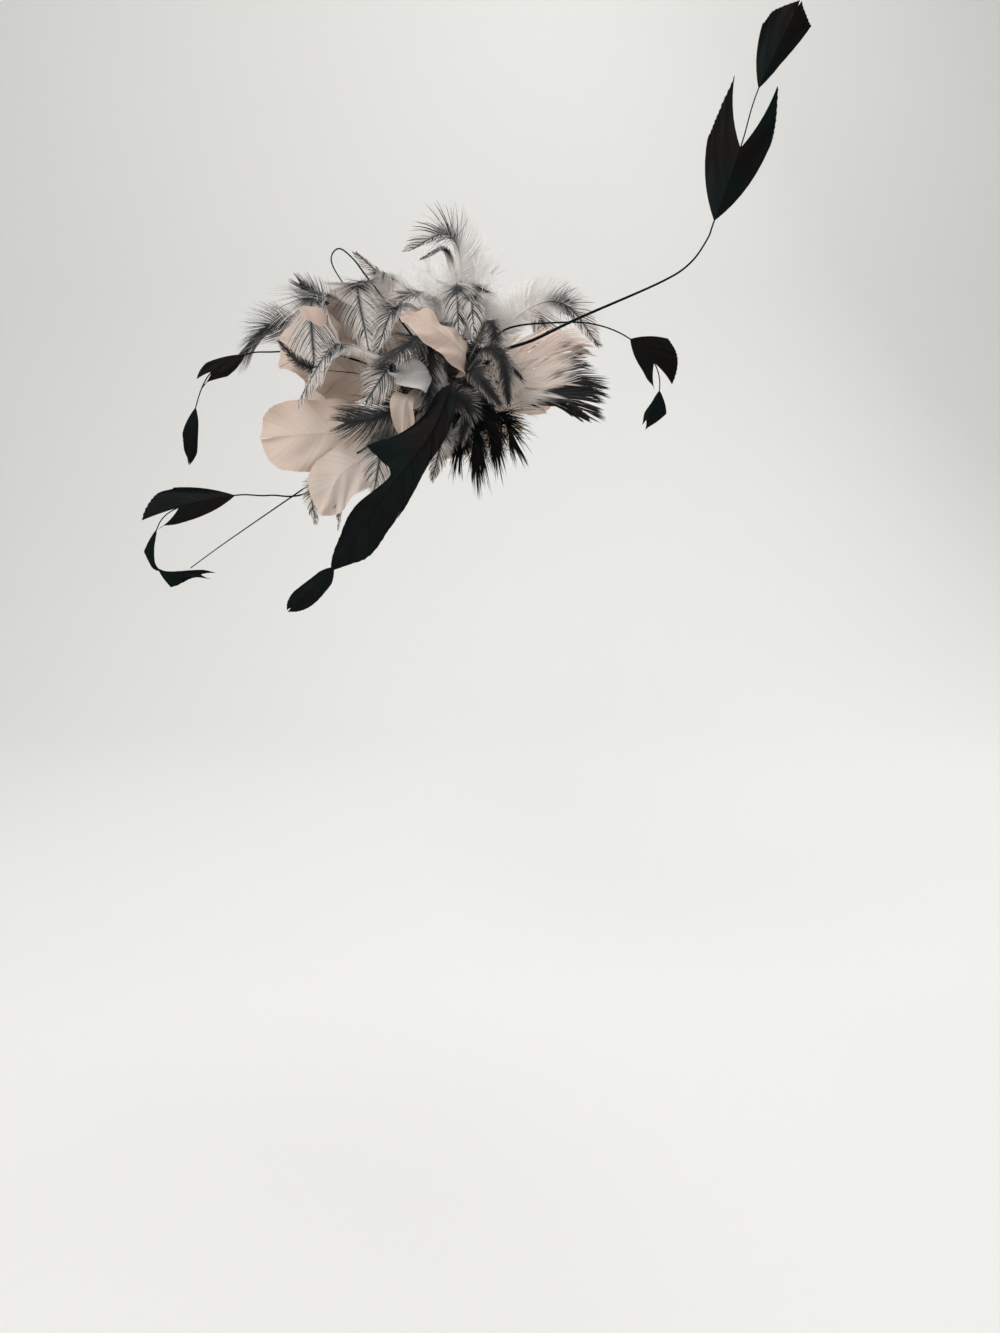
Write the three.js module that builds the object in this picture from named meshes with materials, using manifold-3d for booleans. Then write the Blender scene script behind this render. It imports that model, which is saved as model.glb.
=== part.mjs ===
// A feather fascinator: goose petals, laced hackles and trimmed black sprigs on a small straw base.
// Millimetres. +X is to the right as one faces it, +Y to the back, +Z up.
// The origin is where the middle of the base rests on the head.
import * as THREE from 'three';
import { mergeVertices } from 'three/addons/utils/BufferGeometryUtils.js';
import Module from 'manifold-3d';

const wasm = await Module();
wasm.setup();
const { Manifold, Mesh } = wasm;

// Driving sizes
const GAP = 0.35; // air between neighbouring pieces
const LEAN_LEFT = 15.5; // degrees that the base leans to the left
const LEAN_FRONT = 11; // degrees that the base leans to the front
const BASE = { radius: 30, wall: 2, head_radius: 80, rings: 3, around: 28 };
const MOUND = { radius: 24, height: 22, around: 18, rings: 8 };
const FEATHER_ANCHOR = 0.75; // share of a feather's length where its vane takes the named facing
const SPRIG_ANCHOR = 0.5;
const QUILL_STEPS = 15;
const LEAF_STEPS = 3;
const NOTCH = 0.008; // share of a sprig's length between a leaf and the bare quill
const LEAF_CUP = -0.08;
const LEAF_EDGE = 0.7; // thickness of a leaf at its rim
const FINEST = 0.02; // shortest edge that a piece keeps
const COMB = { wide: 34, long: 24, bar: 5, thick: 1.6, teeth: 7, tooth: 1.8 };

// Materials: colour, roughness
const LOOKS = {
  straw: [0xc9a27c, 0.8],
  felt: [0xd8cfc6, 0.95],
  horn: [0x1a1a1c, 0.35],
  blush: [0xd9bba9, 0.8],
  laced: [0xb9b2ad, 0.85],
  smoke: [0x4a4a4c, 0.85],
  down: [0xece9e4, 0.95],
  black: [0x101213, 0.55],
};

// Named directions that the front of a feather faces
const FACES = {
  viewer: [0, -1, 0.15],
  lifted: [0, -0.75, 0.65],
  up: [-0.1, -0.4, 0.9],
  back: [0, 1, 0.3],
  high: [0, 0.25, 1],
};

// Kinds of feather. Rows of barb and lean run from the start of the vane to its tip, evenly spaced:
// barb is the share of the longest barb, lean is degrees between a barb and the shaft.
const KINDS = {
  petal: { look: 'blush', bare: 0.16, stations: 7, thick: 1.1, cup: 0.2, ragged: 0,
    barb: [0.5, 0.82, 0.96, 0.99, 1.01, 1.07, 1.11, 0.91, 0.55],
    lean: [58, 62, 63, 62, 60, 55, 44, 26, 0] },
  blade: { look: 'blush', bare: 0.3, stations: 6, thick: 1.0, cup: 0.12, ragged: 0.1,
    barb: [0.5, 0.8, 0.95, 1, 0.9, 0.65], lean: [28, 20, 15, 12, 9, 2] },
  hackle: { look: 'laced', bare: 0.1, stations: 7, thick: 0.9, cup: 0.12, ragged: 0.22,
    barb: [0.6, 0.85, 1, 1, 0.85, 0.55, 0.2], lean: [74, 64, 52, 40, 32, 26, 16] },
  smoke: { look: 'smoke', bare: 0.1, stations: 6, thick: 0.9, cup: 0.1, ragged: 0.25,
    barb: [0.5, 0.85, 1, 1, 0.85, 0.5], lean: [66, 56, 46, 37, 29, 12] },
  down: { look: 'down', bare: 0.1, stations: 6, thick: 1.0, cup: 0.15, ragged: 0.3,
    barb: [0.7, 1, 1, 0.9, 0.6], lean: [60, 52, 42, 30, 10] },
  lock: { look: 'black', bare: 0.4, stations: 5, thick: 1.2, cup: 0.1, ragged: 0.2,
    barb: [0.8, 1, 1, 0.9], lean: [16, 12, 8, 3] },
};

// Every feather of the cluster. It leaves the mound at the angles around and up (0 is right, 90 back,
// 180 left, 270 front), runs straight for its reach, passes its crest and ends at its tip. wide is
// across the vane, and right and left are the shares of its barbs on each side, seen from the side
// that it faces and looking tipwards. Rows with one name are one tuft.
const COLUMNS = ['name', 'kind', 'around', 'up', 'reach', 'crest', 'tip', 'wide', 'face', 'right', 'left'];
const FEATHERS = [
  ['petal_low_left', 'petal', 212, -24, 22, [-72, -38, -1], [-86, -39, -2], 34, 'viewer', 1, 1],
  ['petal_low', 'petal', 222, -35, 20, [-56, -42, -18], [-65, -42, -33], 24, 'viewer', 1, 1],
  ['petal_left', 'petal', 194, 8, 26, [-65, -36, 37], [-81, -31, 42], 32, 'viewer', 1, 1],
  ['petal_up_left', 'petal', 162, 41, 24, [-50, -14, 52], [-66, -6, 64], 26, 'viewer', 1, 1],
  ['petal_crown', 'petal', 279, 14, 28, [-9, -66, 43], [-21, -64, 49], 18, 'lifted', 1, 1],
  ['petal_mid', 'petal', 266, 8, 22, [-18, -68, 25], [-27, -67, 25], 15, 'viewer', 1, 1],
  ['petal_mid_low', 'petal', 256, -6, 22, [-24, -62, 14], [-26, -59, 0], 12, 'viewer', 1, 1],
  ['blade_right_top', 'blade', 312, 28, 8, [34, -18, 43], [49, -13, 43], 12, 'lifted', 1, 1],
  ['blade_right_mid', 'blade', 312, 12, 8, [32, -25, 34], [46, -21, 35], 12, 'viewer', 1, 1],
  ['blade_right_low', 'blade', 318, 2, 8, [38, -29, 26], [54, -26, 23], 13, 'viewer', 1, 1],
  ['blade_right_bottom', 'blade', 322, -8, 8, [38, -30, 19], [53, -28, 15], 12, 'viewer', 1, 1],
  ['blade_right_under', 'blade', 330, -14, 8, [40, -22, 15], [56, -20, 9], 6, 'viewer', 1, 1],
  ['hackle_top_curl', 'hackle', 70, 80, 40, [-9, 4, 96], [-27, 2, 88], 28, 'viewer', 1, 0.2],
  ['hackle_top_eye', 'hackle', 88, 74, 36, [-10, 9, 90], [-22, 7, 85], 10, 'viewer', 0.5, 0.8],
  ['hackle_top_left', 'hackle', 145, 60, 34, [-42, 7, 78], [-54, 6, 88], 18, 'viewer', 0.35, 1],
  ['hackle_fold', 'hackle', 160, 50, 32, [-51, -12, 71], [-44, -36, 39], 28, 'viewer', 1, 1],
  ['hackle_left_fold', 'hackle', 178, 38, 30, [-70, -24, 64], [-67, -51, 26], 34, 'viewer', 1, 1],
  ['hackle_left_up', 'smoke', 176, 24, 34, [-68, -6, 60], [-80, -7, 71], 20, 'viewer', 1, 1],
  ['hackle_left_dark', 'smoke', 185, 22, 34, [-92, -10, 52], [-111, -8, 37], 27, 'lifted', 1, 1],
  ['hackle_left_streak', 'smoke', 204, 8, 24, [-70, -54, 29], [-83, -48, 40], 5, 'viewer', 1, 1],
  ['hackle_left_arc', 'hackle', 224, 16, 24, [-56, -60, 37], [-74, -56, 13], 20, 'lifted', 0.25, 1],
  ['hackle_star', 'smoke', 256, 24, 28, [-24, -66, 36], [-30, -80, 30], 24, 'up', 1, 1],
  ['hackle_mid_white', 'hackle', 242, 10, 26, [-31, -64, 28], [-43, -58, 13], 22, 'viewer', 1, 1],
  ['hackle_low_fan', 'smoke', 250, -8, 22, [-39, -57, 6], [-53, -54, 4], 26, 'viewer', 1, 1],
  ['hackle_low_white', 'hackle', 236, -20, 20, [-36, -51, -6], [-42, -47, -29], 20, 'viewer', 1, 1],
  ['hackle_bottom_fan', 'hackle', 212, -42, 24, [-71, -30, -26], [-74, -26, -44], 16, 'viewer', 1, 1],
  ['hackle_bottom_thin', 'hackle', 228, -48, 22, [-56, -40, -28], [-61, -36, -46], 9, 'viewer', 1, 1],
  ['hackle_crown_left', 'hackle', 250, 60, 23, [-20, -48, 61], [-32, -47, 54], 23, 'lifted', 1, 0.3],
  ['hackle_mid_left', 'hackle', 246, 44, 26, [-30, -50, 54], [-38, -48, 37], 22, 'lifted', 1, 0.7],
  ['hackle_crown_mid', 'hackle', 283, 74, 24, [-2, -34, 65], [-1, -45, 43], 18, 'viewer', 1, 1],
  ['hackle_crown_right', 'hackle', 306, 60, 22, [5, -36, 62], [6, -46, 44], 17, 'viewer', 0.8, 1],
  ['hackle_crown_tips', 'smoke', 20, 76, 24, [3, -21, 69], [13, -22, 65], 12, 'viewer', 1, 1],
  ['hackle_right_arch', 'hackle', 352, 46, 28, [50, -4, 62], [67, -8, 42], 20, 'viewer', 0.6, 1],
  ['hackle_right_dark', 'smoke', 300, 38, 24, [18, -46, 36], [28, -46, 24], 9, 'lifted', 1, 1],
  ['hackle_right_drop', 'smoke', 292, 20, 24, [19, -54, 31], [22, -52, 13], 10, 'viewer', 1, 1],
  ['hackle_right_slant', 'smoke', 283, 8, 24, [9, -60, 23], [18, -58, 12], 10, 'viewer', 1, 1],
  ['hackle_centre_dark', 'smoke', 272, -6, 26, [3, -58, 11], [0, -54, -4], 12, 'viewer', 1, 1],
  ['hackle_centre_black', 'smoke', 264, 36, 24, [-13, -60, 34], [-14, -64, 4], 15, 'viewer', 1, 1],
  ['hackle_front_white', 'hackle', 262, -34, 22, [-8, -52, 0], [-14, -47, -22], 14, 'viewer', 1, 1],
  ['down_top', 'down', 118, 76, 24, [-12, 5, 70], [-19, 8, 80], 24, 'viewer', 1, 1],
  ['down_top_right', 'down', 60, 72, 24, [3, 10, 71], [8, 14, 87], 24, 'viewer', 1, 1],
  ['down_right', 'down', 12, 58, 24, [16, -1, 56], [27, -1, 65], 24, 'viewer', 1, 1],
  ['petal_back_right', 'petal', 40, 8, 24, [30, 50, 30], [40, 58, 18], 24, 'back', 1, 1],
  ['petal_back_mid', 'petal', 75, 12, 24, [14, 56, 40], [20, 70, 20], 34, 'back', 1, 1],
  ['petal_back_left', 'petal', 112, 14, 24, [-30, 54, 42], [-40, 68, 24], 34, 'back', 1, 1],
  ['petal_back_low', 'petal', 148, 8, 24, [-60, 32, 34], [-76, 38, 17], 32, 'back', 1, 1],
  ['hackle_back_crown', 'hackle', 85, 55, 28, [2, 34, 78], [8, 56, 56], 28, 'high', 1, 1],
  ['hackle_back_left', 'hackle', 128, 46, 28, [-38, 28, 75], [-54, 47, 48], 28, 'high', 1, 1],
  ['hackle_back_right', 'hackle', 42, 45, 26, [34, 26, 66], [50, 40, 42], 26, 'high', 1, 1],
  ['black_tuft', 'lock', 270, -12, 16, [-1, -48, 6], [-1, -47, -7], 5, 'viewer', 1, 1],
  ['black_tuft', 'lock', 281, -22, 14, [6, -49, 3], [7, -48, -12], 6, 'viewer', 1, 1],
  ['black_tuft', 'lock', 292, -10, 16, [13, -46, 6], [16, -45, -8], 5, 'viewer', 1, 1],
  ['black_tuft', 'lock', 302, -20, 14, [19, -40, 7], [24, -39, -3], 5, 'viewer', 1, 1],
];

// Sprigs: a stripped quill from the mound along its points, with trimmed black leaves on it. A leaf
// runs from one numbered point to another (0 is the root). On each side its barbs change their length
// and their lean from the leaf's start to its end.
const SPRIGS = [
  { name: 'sprig_tall', around: 296, up: 12, thick: 1.8, tip: 1.0, face: 'viewer',
    points: [[18, -40, 36], [34, -38, 42], [55, -34, 52], [94, -27, 69], [108, -24, 78],
      [116, -22, 89], [119, -21, 97], [130, -20, 129], [137, -20, 154], [153, -20, 188]],
    leaves: [
      { from: 7, to: 8, right: { barb: [40, 34, 32], lean: [19, 21, 14] },
        left: { barb: [38, 34, 33], lean: [25, 27, 23] } },
      { from: 9, to: 10, right: { barb: [35, 18, 3], lean: [14, 26, 8] },
        left: { barb: [28, 17, 3], lean: [20, 28, 8] } }] },
  { name: 'sprig_right', around: 312, up: 26, thick: 1.1, tip: 0.9, face: 'viewer',
    points: [[20, -30, 47], [48, -26, 51], [66, -22, 50], [81, -20, 44], [93, -20, 33],
      [96, -20, 20], [90, -20, 6]],
    leaves: [
      { from: 4, to: 5, right: { barb: [16, 15, 13], lean: [35, 38, 30] },
        left: { barb: [20, 18, 14], lean: [35, 32, 12] } },
      { from: 6, to: 7, right: { barb: [8, 6, 3], lean: [20, 22, 10] },
        left: { barb: [12, 9, 5], lean: [30, 34, 24] } }] },
  { name: 'sprig_left', around: 190, up: 15, thick: 1.2, tip: 0.9, face: 'viewer',
    points: [[-64, -26, 37], [-93, -20, 38], [-106, -18, 37], [-123, -18, 29], [-132, -18, 12],
      [-137, -18, -14]],
    leaves: [
      { from: 3, to: 4, right: { barb: [18, 13, 9], lean: [9, 15, 20] },
        left: { barb: [14, 12.5, 10.5], lean: [31, 24, 12] } },
      { from: 5, to: 6, right: { barb: [15, 13, 8, 2], lean: [16, 15, 12, 6] },
        left: { barb: [15, 13, 8, 2], lean: [16, 15, 12, 6] } }] },
  { name: 'sprig_low_left', around: 204, up: -28, thick: 1.2, tip: 0.9, face: 'viewer',
    points: [[-73, -22, -27], [-99, -14, -31], [-116, -14, -31], [-145, -14, -37],
      [-157, -14, -48], [-158, -14, -68], [-138, -8, -72]],
    leaves: [
      { from: 3, to: 4, right: { barb: [32, 27, 21], lean: [14, 17, 4] },
        left: { barb: [27, 22, 16], lean: [20, 24, 22] } },
      { from: 5, to: 6, right: { barb: [14, 9, 2], lean: [12, 10, 6] },
        left: { barb: [3, 3, 1], lean: [12, 10, 6] } },
      { from: 6, to: 7, right: { barb: [12, 9, 6], lean: [16, 20, 26] },
        left: { barb: [12, 9, 8], lean: [14, 16, 12] } }] },
  { name: 'quill_low_left', around: 290, up: 2, thick: 1.9, tip: 1.0, face: 'viewer',
    points: [[-4, -48, 20], [-29, -44, 3], [-71, -26, -22], [-122, -8, -54], [-144, -5, -69]],
    leaves: [] },
  { name: 'sprig_front', around: 268, up: 12, thick: 1.6, tip: 1.0, face: 'viewer',
    points: [[-4, -66, 20], [-13, -74, -2], [-36, -70, -30], [-60, -59, -62], [-82, -54, -82]],
    leaves: [
      { from: 1, to: 2, right: { barb: [9, 12, 29], lean: [34, 44, 49] },
        left: { barb: [8, 10, 12], lean: [34, 36, 30] } },
      { from: 2, to: 4, right: { barb: [29, 10, 19, 18, 13, 3], lean: [49, 20, 22, 20, 19, 8] },
        left: { barb: [12, 21, 24, 20, 11, 2.5], lean: [30, 32, 30, 29, 28, 10] } },
      { from: 4, to: 5, right: { barb: [9, 13, 10, 3], lean: [28, 24, 20, 8] },
        left: { barb: [9, 13, 10, 3], lean: [28, 24, 20, 8] } }] },
  { name: 'quill_loop', around: 162, up: 52, thick: 1.2, tip: 1.0, face: 'viewer',
    points: [[-47, -6, 74], [-54, -5, 83], [-61, -4, 88], [-65, -4, 83], [-61, -2, 74], [-50, 2, 60]],
    leaves: [] },
];

const vector = (list) => new THREE.Vector3(...list);
const radians = THREE.MathUtils.degToRad;
const mix = THREE.MathUtils.lerp;

// The seat is the leaning frame of the base: its +Z points out of the head.
const seat = new THREE.Group();
seat.rotation.set(radians(LEAN_FRONT), radians(-LEAN_LEFT), 0);
seat.updateMatrixWorld();
const mound_centre = new THREE.Vector3(0, 0, MOUND.height).applyMatrix4(seat.matrixWorld);

// Value at share t of a row of evenly spaced values
function along(row, t) {
  const place = Math.min(Math.max(t, 0), 1) * (row.length - 1);
  const first = Math.min(Math.floor(place), row.length - 2);
  return mix(row[first], row[first + 1], place - first);
}

// Unit vector at the angles around and up
function heading(around, up) {
  const flat = Math.cos(radians(up));
  return new THREE.Vector3(
    flat * Math.cos(radians(around)), flat * Math.sin(radians(around)), Math.sin(radians(up)));
}

// Point just off the mound where a quill starts
function root_point(around, up) {
  return heading(around, up).multiplyScalar(MOUND.radius + GAP).add(mound_centre);
}

// Closed manifold solid of a three.js geometry, with its faces turned outwards
function solid_of(geometry) {
  const bare = geometry.clone();
  bare.deleteAttribute('normal');
  bare.deleteAttribute('uv');
  const merged = mergeVertices(bare, 1e-3);
  const points = merged.attributes.position.array;
  const faces = [];
  for (let i = 0; i < merged.index.count; i += 3) {
    const face = [0, 1, 2].map((k) => merged.index.getX(i + k));
    if (new Set(face).size === 3) faces.push(face);
  }
  const corner = (k) => new THREE.Vector3().fromArray(points, 3 * k);
  const volume = faces.reduce((sum, [a, b, c]) => sum + corner(a).dot(corner(b).cross(corner(c))), 0);
  const turned = volume > 0 ? faces : faces.map(([a, b, c]) => [a, c, b]);
  return new Manifold(new Mesh({
    numProp: 3, vertProperties: new Float32Array(points), triVerts: new Uint32Array(turned.flat()) }));
}

// three.js geometry of points and faces
function geometry_from(points, faces) {
  const geometry = new THREE.BufferGeometry();
  geometry.setAttribute('position', new THREE.Float32BufferAttribute(points, 3));
  geometry.setIndex(faces);
  return geometry;
}

// The largest body of a solid
function largest(solid) {
  return solid.decompose().sort((a, b) => b.volume() - a.volume())[0];
}

// three.js geometry of a manifold solid
function surface_of(solid) {
  const mesh = solid.getMesh();
  const geometry = geometry_from([...mesh.vertProperties], [...mesh.triVerts]);
  geometry.computeVertexNormals();
  return geometry;
}

// A solid without its slivers. Where two folds of a vane only touch, their corners are drawn back
// into the solid, so that the folds stay apart.
function parted(solid) {
  const geometry = surface_of(solid.simplify(FINEST));
  const read = (attribute) => Array.from({ length: attribute.count },
    (_, k) => new THREE.Vector3().fromBufferAttribute(attribute, k));
  const corners = read(geometry.attributes.position);
  const normals = read(geometry.attributes.normal);
  corners.forEach((corner, k) => {
    const touches = corners.some((other, j) => j !== k && corner.distanceTo(other) < FINEST / 4);
    if (!touches) return;
    const moved = corner.clone().addScaledVector(normals[k], -FINEST);
    geometry.attributes.position.setXYZ(k, moved.x, moved.y, moved.z);
  });
  return largest(solid_of(geometry));
}

const geometry_of = (solid) => surface_of(parted(parted(solid)));

// Block over three stations of a vane, each a point of its upper side and one of its underside.
// A side is split from the upper point of its earlier station to the lower point of its later one,
// so that neighbouring blocks meet without a gap.
function block(stations) {
  const faces = [0, 2, 4, 1, 5, 3, 0, 4, 5, 0, 5, 1];
  for (const k of [0, 2]) faces.push(k + 2, k, k + 3, k, k + 1, k + 3);
  return solid_of(geometry_from(stations.flat().flatMap((p) => [p.x, p.y, p.z]), faces));
}

// Solid through many rings of left, middle and right stations. It is joined from blocks, so a vane
// that curls over itself stays sound.
function through_rings(rings) {
  const blocks = [];
  for (let k = 1; k < rings.length; k += 1) {
    const [before, after] = [rings[k - 1], rings[k]];
    for (const edge of [0, 2]) {
      blocks.push(block([before[1], before[edge], after[1]]));
      blocks.push(block([before[edge], after[1], after[edge]]));
    }
  }
  return Manifold.union(blocks);
}

// Smooth shaft through a root and points
const shaft_through = (points) => new THREE.CatmullRomCurve3(points, false, 'catmullrom', 0.5);

// Place, tangent, side and normal at shares of a shaft's length. The side lies across the named
// facing at the anchor share and is carried both ways without twist.
function frames_along(shaft, shares, face, anchor) {
  const places = shares.map((s) => shaft.getPointAt(s));
  const tangents = shares.map((s) => shaft.getTangentAt(s));
  const held = shares.findIndex((s) => s >= anchor);
  const sides = new Array(shares.length);
  sides[held] = tangents[held].clone().cross(vector(FACES[face])).normalize();
  const carry = (from, to) => {
    const kept = sides[from].clone();
    sides[to] = kept.addScaledVector(tangents[to], -kept.dot(tangents[to])).normalize();
  };
  for (let k = held + 1; k < shares.length; k += 1) carry(k - 1, k);
  for (let k = held - 1; k >= 0; k -= 1) carry(k + 1, k);
  return shares.map((s, k) => ({
    place: places[k], tangent: tangents[k], side: sides[k], normal: sides[k].clone().cross(tangents[k]) }));
}

// One ring of stations: barbs leave the shaft on both sides at a lean, so that the section is a
// chevron. grow swells it, for cutting a neighbour clear.
function barb_ring(frame, section, grow) {
  return [-1, 0, 1].map((hand) => {
    const share = Math.abs(hand);
    const [length, lean] = hand < 0 ? section.left : section.right;
    const barb = share * (length + grow);
    const point = frame.place.clone()
      .addScaledVector(frame.tangent, barb * Math.cos(lean))
      .addScaledVector(frame.side, hand * barb * Math.sin(lean))
      .addScaledVector(frame.normal, section.cup * barb);
    const half = grow + mix(section.thick, section.edge, share) / 2;
    return [half, -half].map((rise) => point.clone().addScaledVector(frame.normal, rise));
  });
}

// Section of a bare quill
const quill_section = (thick) => ({
  right: [thick / 2, Math.PI / 2], left: [thick / 2, Math.PI / 2], cup: 0, thick, edge: thick * 0.4 });

// Solid of a cluster feather
function feather(row, grow = 0) {
  const made = KINDS[row.kind];
  const root = root_point(row.around, row.up);
  const lead = heading(row.around, row.up).multiplyScalar(row.reach).add(root);
  const shaft = shaft_through([root, lead, vector(row.crest), vector(row.tip)]);
  const shares = [0];
  for (let k = 0; k <= made.stations; k += 1) shares.push(mix(made.bare, 1, k / made.stations));
  const barb = row.wide / 2 / Math.sin(radians(along(made.lean, 0.5)));
  const rings = frames_along(shaft, shares, row.face, FEATHER_ANCHOR).map((frame, k) => {
    const t = (shares[k] - made.bare) / (1 - made.bare);
    const thick = made.thick * mix(1.3, 1, t);
    if (k < 1) return barb_ring(frame, quill_section(thick), grow);
    const length = barb * along(made.barb, t) * (1 - made.ragged * (k % 2));
    const lean = radians(along(made.lean, t));
    return barb_ring(frame, {
      right: [Math.max(length * row.right, thick / 2), lean],
      left: [Math.max(length * row.left, thick / 2), lean],
      cup: -made.cup, thick, edge: made.thick * 0.6,
    }, grow);
  });
  return through_rings(rings);
}

// Share of a shaft's length at one of its numbered points
function share_at(shaft, knot, last) {
  const fine = 20 * last;
  const lengths = shaft.getLengths(fine);
  return lengths[20 * knot] / lengths[fine];
}

// Solid of a sprig: its quill with the leaves on it
function sprig(row, grow = 0) {
  const points = [root_point(row.around, row.up), ...row.points.map(vector)];
  const shaft = shaft_through(points);
  const last = points.length - 1;
  const leaves = row.leaves.map((leaf) => ({
    ...leaf, start: share_at(shaft, leaf.from, last), end: share_at(shaft, leaf.to, last) }));
  const stops = [];
  const covered = (s) => leaves.some((leaf) => s > leaf.start - NOTCH && s < leaf.end + NOTCH);
  for (let k = 0; k <= QUILL_STEPS; k += 1) {
    if (!covered(k / QUILL_STEPS)) stops.push({ s: k / QUILL_STEPS });
  }
  for (const leaf of leaves) {
    for (let k = 0; k <= LEAF_STEPS; k += 1) {
      stops.push({ s: mix(leaf.start, leaf.end, k / LEAF_STEPS), t: k / LEAF_STEPS, leaf });
    }
    if (!covered(leaf.start - NOTCH)) stops.push({ s: leaf.start - NOTCH });
    if (leaf.end < 1 && !covered(leaf.end + NOTCH)) stops.push({ s: leaf.end + NOTCH });
  }
  stops.sort((a, b) => a.s - b.s);
  const rings = frames_along(shaft, stops.map((stop) => stop.s), row.face, SPRIG_ANCHOR)
    .map((frame, k) => {
      const { s, t, leaf } = stops[k];
      const thick = mix(row.thick, row.tip, s);
      if (!leaf) return barb_ring(frame, quill_section(thick), grow);
      const barbs = (side) => [along(side.barb, t), radians(along(side.lean, t))];
      return barb_ring(frame, {
        right: barbs(leaf.right), left: barbs(leaf.left), cup: LEAF_CUP, thick, edge: LEAF_EDGE,
      }, grow);
    });
  return through_rings(rings);
}

// Fall of the base below its middle at a distance from its axis
const fall = (r, radius) => radius - Math.sqrt(radius * radius - r * r);

// Domed straw disc that follows the head
function base_geometry() {
  const under = [];
  const over = [];
  for (let k = 0; k <= BASE.rings; k += 1) {
    const r = BASE.radius * k / BASE.rings;
    under.push(new THREE.Vector2(r, -fall(r, BASE.head_radius)));
    over.unshift(new THREE.Vector2(r, BASE.wall - fall(r, BASE.head_radius)));
  }
  return new THREE.LatheGeometry([...under, ...over], BASE.around).rotateX(Math.PI / 2);
}

// Padded mound that the quills are sewn into, with its underside on the base
function mound_geometry() {
  const foot = Math.sqrt(MOUND.radius ** 2 - (MOUND.height - BASE.wall - GAP - 2) ** 2);
  const profile = [0, 0.5, 1].map((t) => new THREE.Vector2(
    foot * t, BASE.wall + GAP - fall(foot * t, BASE.head_radius)));
  const from = Math.atan2(profile[2].y - MOUND.height, foot);
  for (let k = 1; k <= MOUND.rings; k += 1) {
    const angle = mix(from, Math.PI / 2, k / MOUND.rings);
    profile.push(new THREE.Vector2(
      k < MOUND.rings ? MOUND.radius * Math.cos(angle) : 0, MOUND.height + MOUND.radius * Math.sin(angle)));
  }
  return new THREE.LatheGeometry(profile, MOUND.around).rotateX(Math.PI / 2);
}

// Hair comb bent to the head, with its bar across the left of the base and its teeth to the right
function comb_geometry() {
  const bend = (geometry) => {
    const points = geometry.attributes.position;
    for (let k = 0; k < points.count; k += 1) {
      const r = Math.hypot(points.getX(k), points.getY(k));
      points.setZ(k, points.getZ(k) - fall(r, BASE.head_radius) - GAP - COMB.thick / 2);
    }
    return geometry;
  };
  const left = -COMB.long / 2;
  const bar = new THREE.BoxGeometry(COMB.bar, COMB.wide, COMB.thick, 1, 8, 1);
  let comb = solid_of(bend(bar.translate(left + COMB.bar / 2, 0, 0)));
  for (let k = 0; k < COMB.teeth; k += 1) {
    const y = mix(-1, 1, k / (COMB.teeth - 1)) * (COMB.wide - COMB.tooth) / 2;
    const tooth = new THREE.BoxGeometry(COMB.long - COMB.bar / 2, COMB.tooth, COMB.thick * 0.8, 3, 1, 1);
    comb = comb.add(solid_of(bend(tooth.translate(COMB.bar / 4, y, 0))));
  }
  return surface_of(comb);
}

function piece(name, geometry, look, parent) {
  const [color, roughness] = LOOKS[look];
  const mesh = new THREE.Mesh(geometry, new THREE.MeshStandardMaterial({ color, roughness, metalness: 0 }));
  mesh.name = name;
  parent.add(mesh);
  return mesh;
}

const fascinator = new THREE.Group();
fascinator.add(seat);
piece('base_disc', base_geometry(), 'straw', seat);
piece('feather_mound', mound_geometry(), 'felt', seat);
piece('hair_comb', comb_geometry(), 'horn', seat);

// Each piece is cut clear of the ones before it, and keeps its largest part. Rows that come first
// keep their whole shape.
let taken = null;
function place_clear(name, exact, swollen, look) {
  const solid = taken ? largest(exact.subtract(taken)) : exact;
  piece(name, geometry_of(solid), look, fascinator);
  const kept_clear = swollen.add(exact);
  taken = taken ? taken.add(kept_clear) : kept_clear;
}

for (const row of SPRIGS) place_clear(row.name, sprig(row), sprig(row, GAP), 'black');

const tufts = new Map();
for (const values of FEATHERS) {
  const row = Object.fromEntries(COLUMNS.map((column, k) => [column, values[k]]));
  const seen = tufts.get(row.name);
  const exact = feather(row);
  const swollen = feather(row, GAP);
  tufts.set(row.name, {
    look: KINDS[row.kind].look,
    exact: seen ? seen.exact.add(exact) : exact,
    swollen: seen ? seen.swollen.add(swollen) : swollen,
  });
}
for (const [name, made] of tufts) place_clear(name, made.exact, made.swollen, made.look);

export default fascinator;
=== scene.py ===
"""Looks of a feather fascinator: goose petals, laced hackles, down and trimmed black sprigs.

The tables hold millimetres and degrees, as the part's source does; meshes are in metres.
A loose vane is a field of barbs, thin closed ribbons that leave its shaft on both sides. The vane
of a petal or a trimmed leaf is of thin closed webs, ribbed as its barbs run.
"""
import math

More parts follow.
